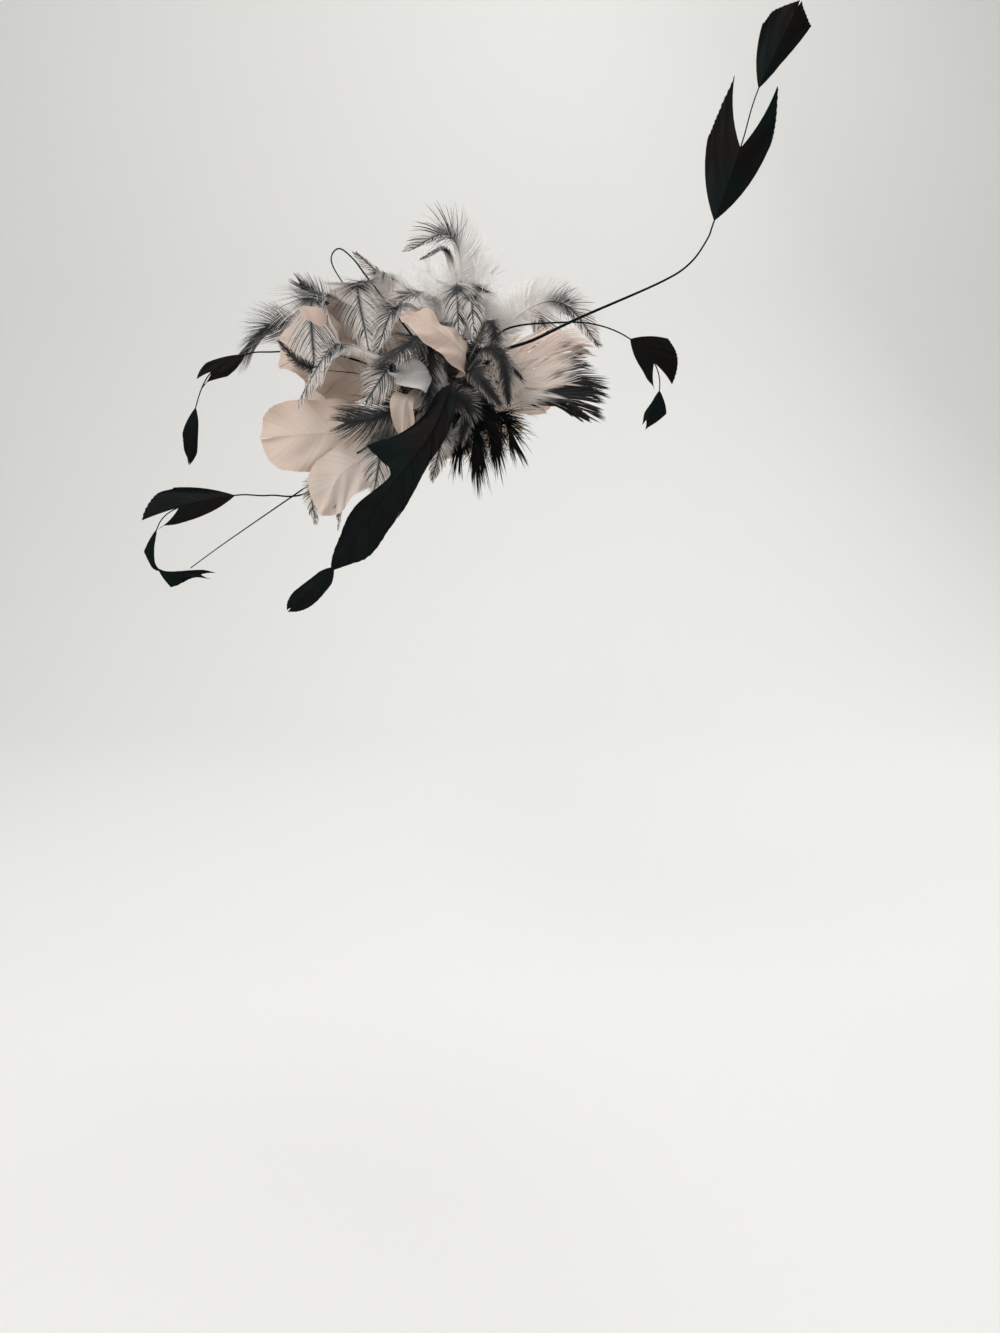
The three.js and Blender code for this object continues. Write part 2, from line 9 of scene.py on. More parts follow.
import bpy
import numpy as np
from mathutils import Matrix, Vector


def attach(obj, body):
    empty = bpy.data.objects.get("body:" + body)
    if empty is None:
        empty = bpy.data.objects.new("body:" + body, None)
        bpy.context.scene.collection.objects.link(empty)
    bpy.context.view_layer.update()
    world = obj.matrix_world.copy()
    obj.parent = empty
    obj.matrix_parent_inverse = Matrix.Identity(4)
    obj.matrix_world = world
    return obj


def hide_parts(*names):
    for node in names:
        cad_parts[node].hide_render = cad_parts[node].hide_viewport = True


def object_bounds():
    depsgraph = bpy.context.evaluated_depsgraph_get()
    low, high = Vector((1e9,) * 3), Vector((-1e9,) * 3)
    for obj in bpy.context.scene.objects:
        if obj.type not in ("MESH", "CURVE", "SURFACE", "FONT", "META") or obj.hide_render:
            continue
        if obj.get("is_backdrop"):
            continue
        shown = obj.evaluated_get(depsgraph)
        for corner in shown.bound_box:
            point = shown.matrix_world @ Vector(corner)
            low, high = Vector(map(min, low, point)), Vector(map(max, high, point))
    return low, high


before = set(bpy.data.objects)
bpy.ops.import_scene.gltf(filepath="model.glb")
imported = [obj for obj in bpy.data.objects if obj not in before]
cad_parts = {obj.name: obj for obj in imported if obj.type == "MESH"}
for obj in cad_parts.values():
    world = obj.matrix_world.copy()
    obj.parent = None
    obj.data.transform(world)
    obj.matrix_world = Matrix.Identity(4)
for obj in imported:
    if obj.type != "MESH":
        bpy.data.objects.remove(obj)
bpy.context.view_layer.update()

MM = 0.001

# Degrees from which an edge stays sharp
SHARP = 40

# Driving sizes
GAP = 0.35
LEAN_LEFT = 15.5
LEAN_FRONT = 11
BASE = {"radius": 30, "wall": 2, "head_radius": 80}
MOUND = {"radius": 24, "height": 22}
FEATHER_ANCHOR = 0.75
SPRIG_ANCHOR = 0.5

# Named directions that the front of a feather faces
FACES = {
    "viewer": (0, -1, 0.15),
    "lifted": (0, -0.75, 0.65),
    "up": (-0.1, -0.4, 0.9),
    "back": (0, 1, 0.3),
    "high": (0, 0.25, 1),
}

# Outer form of each kind, as in the source: barb is the share of the longest barb and lean the
# degrees between a barb and the shaft, from the start of the vane to its tip, bare the share of
# the shaft without vane, and cup the mm that a barb falls for each mm of its length.
# thick: mm of shaft. web: whether the vane is of webs. pitch: mm between barbs or a web's ribs.
# wide: width of a barb in pitches at its root, middle and end. swell: how much wider a black one
# is. bend: degrees that a barb turns tipwards. stray: degrees of scatter of single barbs.
# uneven: scatter of their length. ragged: scatter of a whole lock's length. curl: mm that barbs
# wander. lock: mm of shaft that feed one lock. gather: share of the way that a lock's ends draw
# together. tilt, rise: degrees and mm of scatter of whole locks. wave: mm of ripple.
# fluff, fluff_long: number and mm of downy barbs.
KINDS = {
    "petal": dict(
        slot="blush_petal", bare=0.16, cup=0.2, thick=0.8, web=True,
        barb=(0.5, 0.82, 0.96, 0.99, 1.01, 1.07, 1.11, 0.91, 0.55),
        lean=(58, 62, 63, 62, 60, 55, 44, 26, 0),
        pitch=0.42, bend=14, stray=0, curl=0, lock=18, gather=0.01, tilt=0.35, rise=0.25,
        wave=1.1, fluff=50, fluff_long=9),
    "blade": dict(
        slot="blush_petal", bare=0.3, cup=0.12, thick=0.8, web=False,
        barb=(0.5, 0.8, 0.95, 1, 0.9, 0.65), lean=(28, 20, 15, 12, 9, 2),
        pitch=0.24, wide=(2.2, 2.0, 0.8), swell=0.2, bend=6, stray=0.4, uneven=0.04,
        ragged=0.07, curl=0.3, lock=4.2, gather=0.8, tilt=2, rise=0.8, wave=0.5,
        fluff=110, fluff_long=13),
    "hackle": dict(
        slot="laced_hackle", bare=0.1, cup=0.12, thick=0.8, web=False,
        barb=(0.6, 0.85, 1, 1, 0.85, 0.55, 0.2), lean=(74, 64, 52, 40, 32, 26, 16),
        pitch=0.24, wide=(0.9, 0.75, 0.35), swell=1.5, bend=28, stray=1, uneven=0.05,
        ragged=0.03, curl=0.35, lock=1.6, gather=0.3, tilt=1, rise=0.25, wave=0.5,
        fluff=150, fluff_long=13),
    "smoke": dict(
        slot="smoke_hackle", bare=0.1, cup=0.1, thick=0.7, web=False,
        barb=(0.5, 0.85, 1, 1, 0.85, 0.5), lean=(66, 56, 46, 37, 29, 12),
        pitch=0.26, wide=(0.85, 0.6, 0.25), swell=0.5, bend=26, stray=1.6, uneven=0.1,
        ragged=0.06, curl=0.5, lock=1.6, gather=0.5, tilt=1.6, rise=0.5, wave=0.5,
        fluff=26, fluff_long=8),
    "down": dict(
        slot="white_down", bare=0.1, cup=0.15, thick=0.7, web=False,
        barb=(0.7, 1, 1, 0.9, 0.6), lean=(60, 52, 42, 30, 10),
        pitch=0.24, wide=(1.5, 1.1, 0.4), swell=0, bend=24, stray=5, uneven=0.15, ragged=0.05,
        curl=1.4, lock=3, gather=0.35, tilt=4, rise=1.2, wave=0.8, fluff=380, fluff_long=17),
    "lock": dict(
        slot="black_feather", bare=0.4, cup=0.1, thick=0.8, web=False,
        barb=(0.8, 1, 1, 0.9), lean=(16, 12, 8, 3),
        pitch=0.2, wide=(1.3, 1.2, 0.6), swell=0.4, bend=8, stray=2.5, uneven=0.2, ragged=0.1,
        curl=1.6, lock=2.4, gather=0.7, tilt=4, rise=1.2, wave=0.5, fluff=110, fluff_long=12),
}

# Every feather of the cluster, as in the source: it leaves the mound at the angles around and up,
# holds that way for reach mm, and runs over its crest to its tip. wide is its width in mm, face
# what its front faces, and right and left the share of the width on each side. A row that stops
# early is plain in the rest.
COLUMNS = ("name", "kind", "around", "up", "reach", "crest", "tip", "wide", "face", "right", "left")
PLAIN = {"face": "viewer", "right": 1, "left": 1}
FEATHERS = [PLAIN | dict(zip(COLUMNS, row)) for row in (
    ("petal_low_left", "petal", 212, -24, 22, [-72, -38, -1], [-86, -39, -2], 34),
    ("petal_low", "petal", 222, -35, 20, [-56, -42, -18], [-65, -42, -33], 24),
    ("petal_left", "petal", 194, 8, 26, [-65, -36, 37], [-81, -31, 42], 32),
    ("petal_up_left", "petal", 162, 41, 24, [-50, -14, 52], [-66, -6, 64], 26),
    ("petal_crown", "petal", 279, 14, 28, [-9, -66, 43], [-21, -64, 49], 18, "lifted"),
    ("petal_mid", "petal", 266, 8, 22, [-18, -68, 25], [-27, -67, 25], 15),
    ("petal_mid_low", "petal", 256, -6, 22, [-24, -62, 14], [-26, -59, 0], 12),
    ("blade_right_top", "blade", 312, 28, 8, [34, -18, 43], [49, -13, 43], 12, "lifted"),
    ("blade_right_mid", "blade", 312, 12, 8, [32, -25, 34], [46, -21, 35], 12),
    ("blade_right_low", "blade", 318, 2, 8, [38, -29, 26], [54, -26, 23], 13),
    ("blade_right_bottom", "blade", 322, -8, 8, [38, -30, 19], [53, -28, 15], 12),
    ("blade_right_under", "blade", 330, -14, 8, [40, -22, 15], [56, -20, 9], 6),
    ("hackle_top_curl", "hackle", 70, 80, 40, [-9, 4, 96], [-27, 2, 88], 28, "viewer", 1, 0.2),
    ("hackle_top_eye", "hackle", 88, 74, 36, [-10, 9, 90], [-22, 7, 85], 10, "viewer", 0.5, 0.8),
    ("hackle_top_left", "hackle", 145, 60, 34, [-42, 7, 78], [-54, 6, 88], 18, "viewer", 0.35, 1),
    ("hackle_fold", "hackle", 160, 50, 32, [-51, -12, 71], [-44, -36, 39], 28),
    ("hackle_left_fold", "hackle", 178, 38, 30, [-70, -24, 64], [-67, -51, 26], 34),
    ("hackle_left_up", "smoke", 176, 24, 34, [-68, -6, 60], [-80, -7, 71], 20),
    ("hackle_left_dark", "smoke", 185, 22, 34, [-92, -10, 52], [-111, -8, 37], 27, "lifted"),
    ("hackle_left_streak", "smoke", 204, 8, 24, [-70, -54, 29], [-83, -48, 40], 5),
    ("hackle_left_arc", "hackle", 224, 16, 24, [-56, -60, 37], [-74, -56, 13], 20, "lifted", 0.25, 1),
    ("hackle_star", "smoke", 256, 24, 28, [-24, -66, 36], [-30, -80, 30], 24, "up"),
    ("hackle_mid_white", "hackle", 242, 10, 26, [-31, -64, 28], [-43, -58, 13], 22),
    ("hackle_low_fan", "smoke", 250, -8, 22, [-39, -57, 6], [-53, -54, 4], 26),
    ("hackle_low_white", "hackle", 236, -20, 20, [-36, -51, -6], [-42, -47, -29], 20),
    ("hackle_bottom_fan", "hackle", 212, -42, 24, [-71, -30, -26], [-74, -26, -44], 16),
    ("hackle_bottom_thin", "hackle", 228, -48, 22, [-56, -40, -28], [-61, -36, -46], 9),
    ("hackle_crown_left", "hackle", 250, 60, 23, [-20, -48, 61], [-32, -47, 54], 23, "lifted", 1, 0.3),
    ("hackle_mid_left", "hackle", 246, 44, 26, [-30, -50, 54], [-38, -48, 37], 22, "lifted", 1, 0.7),
    ("hackle_crown_mid", "hackle", 283, 74, 24, [-2, -34, 65], [-1, -45, 43], 18),
    ("hackle_crown_right", "hackle", 306, 60, 22, [5, -36, 62], [6, -46, 44], 17, "viewer", 0.8, 1),
    ("hackle_crown_tips", "smoke", 20, 76, 24, [3, -21, 69], [13, -22, 65], 12),
    ("hackle_right_arch", "hackle", 352, 46, 28, [50, -4, 62], [67, -8, 42], 20, "viewer", 0.6, 1),
    ("hackle_right_dark", "smoke", 300, 38, 24, [18, -46, 36], [28, -46, 24], 9, "lifted"),
    ("hackle_right_drop", "smoke", 292, 20, 24, [19, -54, 31], [22, -52, 13], 10),
    ("hackle_right_slant", "smoke", 283, 8, 24, [9, -60, 23], [18, -58, 12], 10),
    ("hackle_centre_dark", "smoke", 272, -6, 26, [3, -58, 11], [0, -54, -4], 12),
    ("hackle_centre_black", "smoke", 264, 36, 24, [-13, -60, 34], [-14, -64, 4], 15),
    ("hackle_front_white", "hackle", 262, -34, 22, [-8, -52, 0], [-14, -47, -22], 14),
    ("down_top", "down", 118, 76, 24, [-12, 5, 70], [-19, 8, 80], 24),
    ("down_top_right", "down", 60, 72, 24, [3, 10, 71], [8, 14, 87], 24),
    ("down_right", "down", 12, 58, 24, [16, -1, 56], [27, -1, 65], 24),
    ("petal_back_right", "petal", 40, 8, 24, [30, 50, 30], [40, 58, 18], 24, "back"),
    ("petal_back_mid", "petal", 75, 12, 24, [14, 56, 40], [20, 70, 20], 34, "back"),
    ("petal_back_left", "petal", 112, 14, 24, [-30, 54, 42], [-40, 68, 24], 34, "back"),
    ("petal_back_low", "petal", 148, 8, 24, [-60, 32, 34], [-76, 38, 17], 32, "back"),
    ("hackle_back_crown", "hackle", 85, 55, 28, [2, 34, 78], [8, 56, 56], 28, "high"),
    ("hackle_back_left", "hackle", 128, 46, 28, [-38, 28, 75], [-54, 47, 48], 28, "high"),
    ("hackle_back_right", "hackle", 42, 45, 26, [34, 26, 66], [50, 40, 42], 26, "high"),
    ("black_tuft", "lock", 270, -12, 16, [-1, -48, 6], [-1, -47, -7], 5),
    ("black_tuft", "lock", 281, -22, 14, [6, -49, 3], [7, -48, -12], 6),
    ("black_tuft", "lock", 292, -10, 16, [13, -46, 6], [16, -45, -8], 5),
    ("black_tuft", "lock", 302, -20, 14, [19, -40, 7], [24, -39, -3], 5),
)]

# Sprigs: a stripped quill from the mound along its points, with trimmed leaves from one numbered
# point to another. Each side of a leaf gives the mm of its barbs and then their lean in degrees,
# from the leaf's start to its end.
SPRIGS = (
    dict(name="sprig_tall", around=296, up=12, thick=1.8, tip=1.0, face="viewer",
         points=((18, -40, 36), (34, -38, 42), (55, -34, 52), (94, -27, 69), (108, -24, 78),
                 (116, -22, 89), (119, -21, 97), (130, -20, 129), (137, -20, 154), (153, -20, 188)),
         leaves=(dict(span=(7, 8),
                      right=((40, 34, 32), (19, 21, 14)), left=((38, 34, 33), (25, 27, 23))),
                 dict(span=(9, 10),
                      right=((35, 18, 3), (14, 26, 8)), left=((28, 17, 3), (20, 28, 8))))),
    dict(name="sprig_right", around=312, up=26, thick=1.1, tip=0.9, face="viewer",
         points=((20, -30, 47), (48, -26, 51), (66, -22, 50), (81, -20, 44), (93, -20, 33),
                 (96, -20, 20), (90, -20, 6)),
         leaves=(dict(span=(4, 5),
                      right=((16, 15, 13), (35, 38, 30)), left=((20, 18, 14), (35, 32, 12))),
                 dict(span=(6, 7),
                      right=((8, 6, 3), (20, 22, 10)), left=((12, 9, 5), (30, 34, 24))))),
    dict(name="sprig_left", around=190, up=15, thick=1.2, tip=0.9, face="viewer",
         points=((-64, -26, 37), (-93, -20, 38), (-106, -18, 37), (-123, -18, 29), (-132, -18, 12),
                 (-137, -18, -14)),
         leaves=(dict(span=(3, 4),
                      right=((18, 13, 9), (9, 15, 20)), left=((14, 12.5, 10.5), (31, 24, 12))),
                 dict(span=(5, 6), right=((15, 13, 8, 2), (16, 15, 12, 6)),
                      left=((15, 13, 8, 2), (16, 15, 12, 6))))),
    dict(name="sprig_low_left", around=204, up=-28, thick=1.2, tip=0.9, face="viewer",
         points=((-73, -22, -27), (-99, -14, -31), (-116, -14, -31), (-145, -14, -37),
                 (-157, -14, -48), (-158, -14, -68), (-138, -8, -72)),
         leaves=(dict(span=(3, 4),
                      right=((32, 27, 21), (14, 17, 4)), left=((27, 22, 16), (20, 24, 22))),
                 dict(span=(5, 6),
                      right=((14, 9, 2), (12, 10, 6)), left=((3, 3, 1), (12, 10, 6))),
                 dict(span=(6, 7),
                      right=((12, 9, 6), (16, 20, 26)), left=((12, 9, 8), (14, 16, 12))))),
    dict(name="quill_low_left", around=290, up=2, thick=1.9, tip=1.0, face="viewer",
         points=((-4, -48, 20), (-29, -44, 3), (-71, -26, -22), (-122, -8, -54), (-144, -5, -69)),
         leaves=()),
    dict(name="sprig_front", around=268, up=12, thick=1.6, tip=1.0, face="viewer",
         points=((-4, -66, 20), (-13, -74, -2), (-36, -70, -30), (-60, -59, -62), (-82, -54, -82)),
         leaves=(dict(span=(1, 2),
                      right=((9, 12, 29), (34, 44, 49)), left=((8, 10, 12), (34, 36, 30))),
                 dict(span=(2, 4), right=((29, 10, 19, 18, 13, 3), (49, 20, 22, 20, 19, 8)),
                      left=((12, 21, 24, 20, 11, 2.5), (30, 32, 30, 29, 28, 10))),
                 dict(span=(4, 5), right=((9, 13, 10, 3), (28, 24, 20, 8)),
                      left=((9, 13, 10, 3), (28, 24, 20, 8))))),
    dict(name="quill_loop", around=162, up=52, thick=1.2, tip=1.0, face="viewer",
         points=((-47, -6, 74), (-54, -5, 83), (-61, -4, 88), (-65, -4, 83), (-61, -2, 74),
                 (-50, 2, 60)),
         leaves=()),
)


def turn_x(degrees):
    c, s = math.cos(math.radians(degrees)), math.sin(math.radians(degrees))
    return np.array(((1, 0, 0), (0, c, -s), (0, s, c)))


def turn_y(degrees):
    c, s = math.cos(math.radians(degrees)), math.sin(math.radians(degrees))
    return np.array(((c, 0, s), (0, 1, 0), (-s, 0, c)))


# The seat is the leaning frame of the base: its +Z points out of the head
SEAT = turn_x(LEAN_FRONT) @ turn_y(-LEAN_LEFT)
MOUND_CENTRE = SEAT @ (0, 0, MOUND["height"])


def unit(vectors):
    """Vectors over their lengths."""
    return vectors / np.linalg.norm(vectors, axis=-1, keepdims=True)


def heading(around, up):
    """Unit vector at the angles around and up, in degrees."""
    flat = math.cos(math.radians(up))
    a = math.radians(around)
    return np.array((flat * math.cos(a), flat * math.sin(a), math.sin(math.radians(up))))


def root_point(around, up):
    """Point just off the mound where a quill starts."""
    return MOUND_CENTRE + heading(around, up) * (MOUND["radius"] + GAP)


def spline(a, b, c, d, u):
    """Catmull-Rom curve between b and c at shares u: 0.5 (2b + (c - a) u + (2a - 5b + 4c - d) u^2
    + (3b - a - 3c + d) u^3)."""
    return 0.5 * (2 * b + (c - a) * u + (2 * a - 5 * b + 4 * c - d) * u**2
                  + (3 * b - a - 3 * c + d) * u**3)


def along(row, t):
    """Values at shares t of a row of evenly spaced values, on a Catmull-Rom curve."""
    row = np.asarray(row, float)
    p = np.concatenate(((2 * row[0] - row[1],), row, (2 * row[-1] - row[-2],)))
    place = np.clip(t, 0, 1) * (len(row) - 1)
    first = np.minimum(np.asarray(place).astype(int), len(row) - 2)
    return spline(p[first], p[first + 1], p[first + 2], p[first + 3], place - first)


def smooth(low, high, x):
    """Smooth step of x from low to high: 0 below, 1 above and 3t^2 - 2t^3 between."""
    t = np.clip((x - low) / np.maximum(high - low, 1e-6), 0, 1)
    return t * t * (3 - 2 * t)


class Shaft:
    """A Catmull-Rom spline through points. The side lies across the named facing at the anchor
    share and is carried both ways without twist; the normal is side x tangent."""

    FINE = 60
    STOPS = 64

    def __init__(self, points, face, anchor):
        p = np.array(points, float)
        p = np.vstack((2 * p[0] - p[1], p, 2 * p[-1] - p[-2]))
        u = np.linspace(0, 1, self.FINE, endpoint=False)[:, None]
        spans = [spline(*knots, u) for knots in zip(p, p[1:], p[2:], p[3:])]
        self.line = np.vstack(spans + [p[-2:-1]])
        step = np.linalg.norm(np.diff(self.line, axis=0), axis=1)
        self.run = np.concatenate(((0,), np.cumsum(step)))
        self.length = self.run[-1]
        self.stops = np.linspace(0, 1, self.STOPS)
        self.tangents = unit(np.gradient(self.place(self.stops), axis=0))
        sides = np.zeros_like(self.tangents)
        held = int(np.searchsorted(self.stops, anchor))
        sides[held] = unit(np.cross(self.tangents[held], FACES[face]))
        for order in (range(held + 1, self.STOPS), range(held - 1, -1, -1)):
            for k in order:
                kept = sides[k - order.step]
                sides[k] = unit(kept - self.tangents[k] * (kept @ self.tangents[k]))
        self.sides = sides

    def place(self, share):
        """Points at shares of the length."""
        run = np.asarray(share) * self.length
        return np.stack([np.interp(run, self.run, self.line[:, k]) for k in range(3)], axis=-1)

    def share_of(self, knot):
        """Share of the length where the spline passes a numbered point."""
        return self.run[knot * self.FINE] / self.length

    def at(self, share):
        """Place, tangent, side and normal at shares of the length."""
        def read(rows):
            return np.stack([np.interp(share, self.stops, rows[:, k]) for k in range(3)], axis=-1)
        tangent = unit(read(self.tangents))
        side = read(self.sides)
        side = unit(side - tangent * np.sum(side * tangent, axis=-1, keepdims=True))
        return self.place(share), tangent, side, np.cross(side, tangent)


class Parts:
    """Points, faces and point values of one piece, gathered before its mesh is made."""

    def __init__(self):
        self.points, self.faces, self.values, self.count = [], [], [], 0

    def add(self, points, faces, **values):
        """Adds points, blocks of faces on them, and the values that the points carry."""
        points = np.asarray(points, float).reshape(-1, 3)
        self.faces += [block + self.count for block in faces]
        self.points.append(points)
        self.values.append({k: np.broadcast_to(v, len(points)) if np.ndim(v) == 0
                            else np.asarray(v).reshape(-1) for k, v in values.items()})
        self.count += len(points)

    def build(self, name, material, nodes, slot):
        """Mesh object of the gathered parts, riding on root and standing for the named nodes."""
        points = np.vstack(self.points) * MM
        mesh = bpy.data.meshes.new(name)
        mesh.vertices.add(len(points))
        mesh.vertices.foreach_set("co", points.astype(np.float32).reshape(-1))
        sizes = np.concatenate([np.full(len(block), block.shape[1]) for block in self.faces])
        corners = np.concatenate([block.reshape(-1) for block in self.faces])
        mesh.loops.add(len(corners))
        mesh.loops.foreach_set("vertex_index", corners.astype(np.int32))
        mesh.polygons.add(len(sizes))
        starts = np.concatenate(((0,), np.cumsum(sizes)[:-1]))
        mesh.polygons.foreach_set("loop_start", starts.astype(np.int32))
        mesh.update(calc_edges=True)
        mesh.polygons.foreach_set("use_smooth", np.ones(len(sizes), bool))
        mesh.set_sharp_from_angle(angle=math.radians(SHARP))
        for key in self.values[0]:
            layer = mesh.attributes.new(key, "FLOAT", "POINT")
            data = np.concatenate([block[key] for block in self.values])
            layer.data.foreach_set("value", data.astype(np.float32))
        mesh.materials.append(material)
        piece = bpy.data.objects.new(name, mesh)
        bpy.context.scene.collection.objects.link(piece)
        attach(piece, "root")
        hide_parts(*nodes)


def ribbon_faces(count, rings):
    """Faces of count ribbons of rings three-point rings and a point at the end: three strips of
    quads, three end triangles and a root triangle each."""
    ring = np.array([(3 * j + k, 3 * j + (k + 1) % 3, 3 * j + 3 + (k + 1) % 3, 3 * j + 3 + k)
                     for j in range(rings - 1) for k in range(3)])
    last = 3 * (rings - 1)
    end = np.array([(last + k, last + (k + 1) % 3, 3 * rings) for k in range(3)] + [(2, 1, 0)])
    first = np.arange(count)[:, None, None] * (3 * rings + 1)
    return [(ring + first).reshape(-1, 4), (end + first).reshape(-1, 3)]


def ribbons(parts, spine, up, width, ridge=0.16, **values):
    """Closed ribbons along spine points (ribbon, ring, xyz). A ring is a flat triangle: width
    across the ribbon, with a low ridge of that share of the width on the up side. The last
    spine point is the ribbon's end point."""
    ahead = unit(np.gradient(spine, axis=1))
    across = unit(np.cross(up, ahead))
    rise = np.cross(ahead, across)
    body = spine[:, :-1]
    half = (width[:, :-1] / 2)[..., None]
    edge = across[:, :-1] * half
    top = rise[:, :-1] * half * 2 * ridge
    rings = np.stack((body - edge, body + edge, body + top), axis=2)
    count, size = rings.shape[0], rings.shape[1]
    points = np.concatenate((rings.reshape(count, -1, 3), spine[:, -1:]), axis=1)

    def spread(value):
        value = np.broadcast_to(value, spine.shape[:2])
        return np.concatenate((np.repeat(value[:, :-1], 3, axis=1), value[:, -1:]), axis=1)
    parts.add(points, ribbon_faces(count, size), **{k: spread(v) for k, v in values.items()})


def ring_faces(rings, around):
    """Faces of rings of around points each and two more points: a strip of quads from ring to
    ring, and a fan at each end to its own point."""
    first = np.arange(rings - 1)[:, None] * around
    k = np.arange(around)
    after = (k + 1) % around
    quads = np.stack((first + k, first + after, first + around + after, first + around + k),
                     axis=-1)
    last = (rings - 1) * around
    bottom = np.stack((after, k, np.full(around, rings * around)), axis=-1)
    top = np.stack((last + k, last + after, np.full(around, rings * around + 1)), axis=-1)
    return [quads.reshape(-1, 4), bottom, top]


def tube(parts, shaft, start, end, thick, sides, **values):
    """Closed tapering tube on a shaft from one share to another: thick gives its thickness at
    evenly spaced shares, and its two ends close on a point."""
    share = np.linspace(start, end, max(4, int(shaft.length * (end - start) / RING_STEP)))
    place, tangent, side, normal = shaft.at(share)
    half = along(thick, np.linspace(0, 1, len(share)))[:, None, None] / 2
    angle = np.linspace(0, 2 * math.pi, sides, endpoint=False)[None, :, None]
    rings = place[:, None] + half * (np.cos(angle) * normal[:, None]
                                     + np.sin(angle) * side[:, None])
    points = np.vstack((rings.reshape(-1, 3), place[0], place[-1]))

    def spread(value):
        value = np.broadcast_to(value, share.shape)
        return np.concatenate((np.repeat(value, sides), value[:1], value[-1:]))
    parts.add(points, ring_faces(len(share), sides),
              **{key: spread(v(share) if callable(v) else v) for key, v in values.items()})


def barb_spines(shaft, share, hand, long, lean, lock, phase, rule, rng, u):
    """Spine points of barbs (barb, point, xyz). A barb starts on the shaft and steps along
    cos(angle) tangent + hand sin(angle) side, its angle easing tipwards by bend over its length.
    It then drops by cup times the distance, ripples by waves of share and distance, and wanders by
    curl. The barbs of a lock tilt and rise together, and their ends draw to its middle."""
    count = len(share)
    place, tangent, side, normal = shaft.at(share)
    number = lock.max() + 1
    middle = np.bincount(lock, share, number) / np.maximum(np.bincount(lock, minlength=number), 1)
    pull = (middle[lock] - share) * shaft.length * rule["gather"]
    tilt = rng.normal(0, math.radians(rule["tilt"]), number)[lock]
    rise = rng.normal(0, rule["rise"], number)[lock]
    lean = np.maximum(lean + tilt + rng.normal(0, math.radians(rule["stray"]), count), 0)
    turn = np.minimum(math.radians(rule["bend"]), 1.6 * lean + 0.02)[:, None]
    angle = lean[:, None] + turn * (0.5 - (u[1:] + u[:-1]) / 2)
    step = long[:, None] * np.diff(u)
    start = np.zeros((count, 1))
    ahead = np.concatenate((start, np.cumsum(np.cos(angle) * step, axis=1)), axis=1)
    out = np.concatenate((start, np.cumsum(np.sin(angle) * step, axis=1)), axis=1)
    ahead = ahead + pull[:, None] * u**2.5
    waves = sum(
        np.sin(f * share[:, None] * shaft.length / 9 + g * u * hand[:, None] + ph)
        for f, g, ph in ((1.0, 2.2, phase[0]), (2.3, -3.1, phase[1]), (4.1, 4.7, phase[2])))
    drop = -rule["cup"] * long[:, None] * u + rule["wave"] * waves * u + rise[:, None] * u**2
    wander = rng.normal(0, rule["curl"], (count, 3, 1)) * np.array((u**2, u**3, u * np.sin(4 * u)))
    drop = drop + wander.sum(axis=1)
    return (place[:, None] + tangent[:, None] * ahead[..., None]
            + (side * hand[:, None])[:, None] * out[..., None] + normal[:, None] * drop[..., None],
            np.broadcast_to(normal[:, None], (count, len(u), 3)))


def barb_width(rule, u, count, rng):
    """Width of each barb in mm: the rule's shares of the pitch at root, middle and end."""
    profile = np.interp(u, (0, 0.45, 0.9, 1), (*rule["wide"], rule["wide"][2] * 0.6))
    return rule["pitch"] * profile * rng.uniform(0.8, 1.2, (count, 1))


# Tints of single feathers. warm: how blush the vane is (1 is the plain petal). look: another
# kind whose material it takes. spread: share of a hackle's barb that is black at the crest.
# pale: share of a smoke hackle's barbs with pale ends. start: share of the shaft where its vane
# starts. black_from: share of a blade's length where its black tip starts. streak: share of a
# blade's locks that are black.
TINTS = {
    "petal_low_left": dict(warm=0.8),
    "petal_low": dict(warm=0.6),
    "petal_left": dict(warm=1.3),
    "petal_up_left": dict(warm=1.1),
    "petal_crown": dict(warm=1.1),
    # petal_mid takes the brighter white down material: painted light on a petal that faces down into
    # shade
    "petal_mid": dict(warm=0.05, look="down"),
    "petal_back_mid": dict(warm=0.7),
    "petal_back_left": dict(warm=0.9),
    "petal_back_low": dict(warm=0.75),
    "hackle_top_curl": dict(spread=0.25),
    "hackle_right_arch": dict(spread=0.4),
    "hackle_star": dict(pale=0.06),
    "hackle_low_fan": dict(pale=0.08),
    "hackle_left_dark": dict(pale=0.25),
    "hackle_centre_black": dict(pale=0.3),
    "hackle_left_streak": dict(pale=0, start=0.6),
    "blade_right_top": dict(black_from=1.3, streak=0.06),
    "blade_right_mid": dict(warm=0.6, black_from=1.2, streak=0.2),
    "blade_right_low": dict(warm=0.4, black_from=0.96, streak=0.4),
    "blade_right_bottom": dict(warm=0.3, black_from=0.76, streak=0.6),
    "blade_right_under": dict(warm=0.2, black_from=0.5, streak=0.9),
}
WARM = {"petal": 0.8, "blade": 0.7, "hackle": 0.3, "smoke": 0.2, "down": 0.03, "lock": 0}

# Black share of the downy barbs at the root of each kind, at most
DARK_DOWN = {"petal": 0.02, "blade": 0.02, "hackle": 0.1, "smoke": 0.9, "down": 0.02, "lock": 1}

# Share of a hackle's barbs that are black hairs, and that are black or grey ones
HAIRS = (0.13, 0.2)

# Hackles wider than this, in mm, have a burst of black barbs at the crest
BURST_FROM = 18

# Rule of a trimmed leaf, in the terms of KINDS
LEAF = dict(cup=0.08, pitch=0.36, bend=30, stray=0, curl=0, lock=15, gather=0.012, tilt=0.4,
            rise=0.2, wave=0.22, web=True)

# Thickness of a web at the shaft, height of its ribs, overlap of two webs, and the shortest barb
WEB_THICK = 0.32
WEB_RIDGE = 0.03
WEB_OVERLAP = 0.4
SHORTEST = 0.8

# Step from one barb's lot to the next one's, which spreads the dark hairs evenly
GOLDEN = 0.618

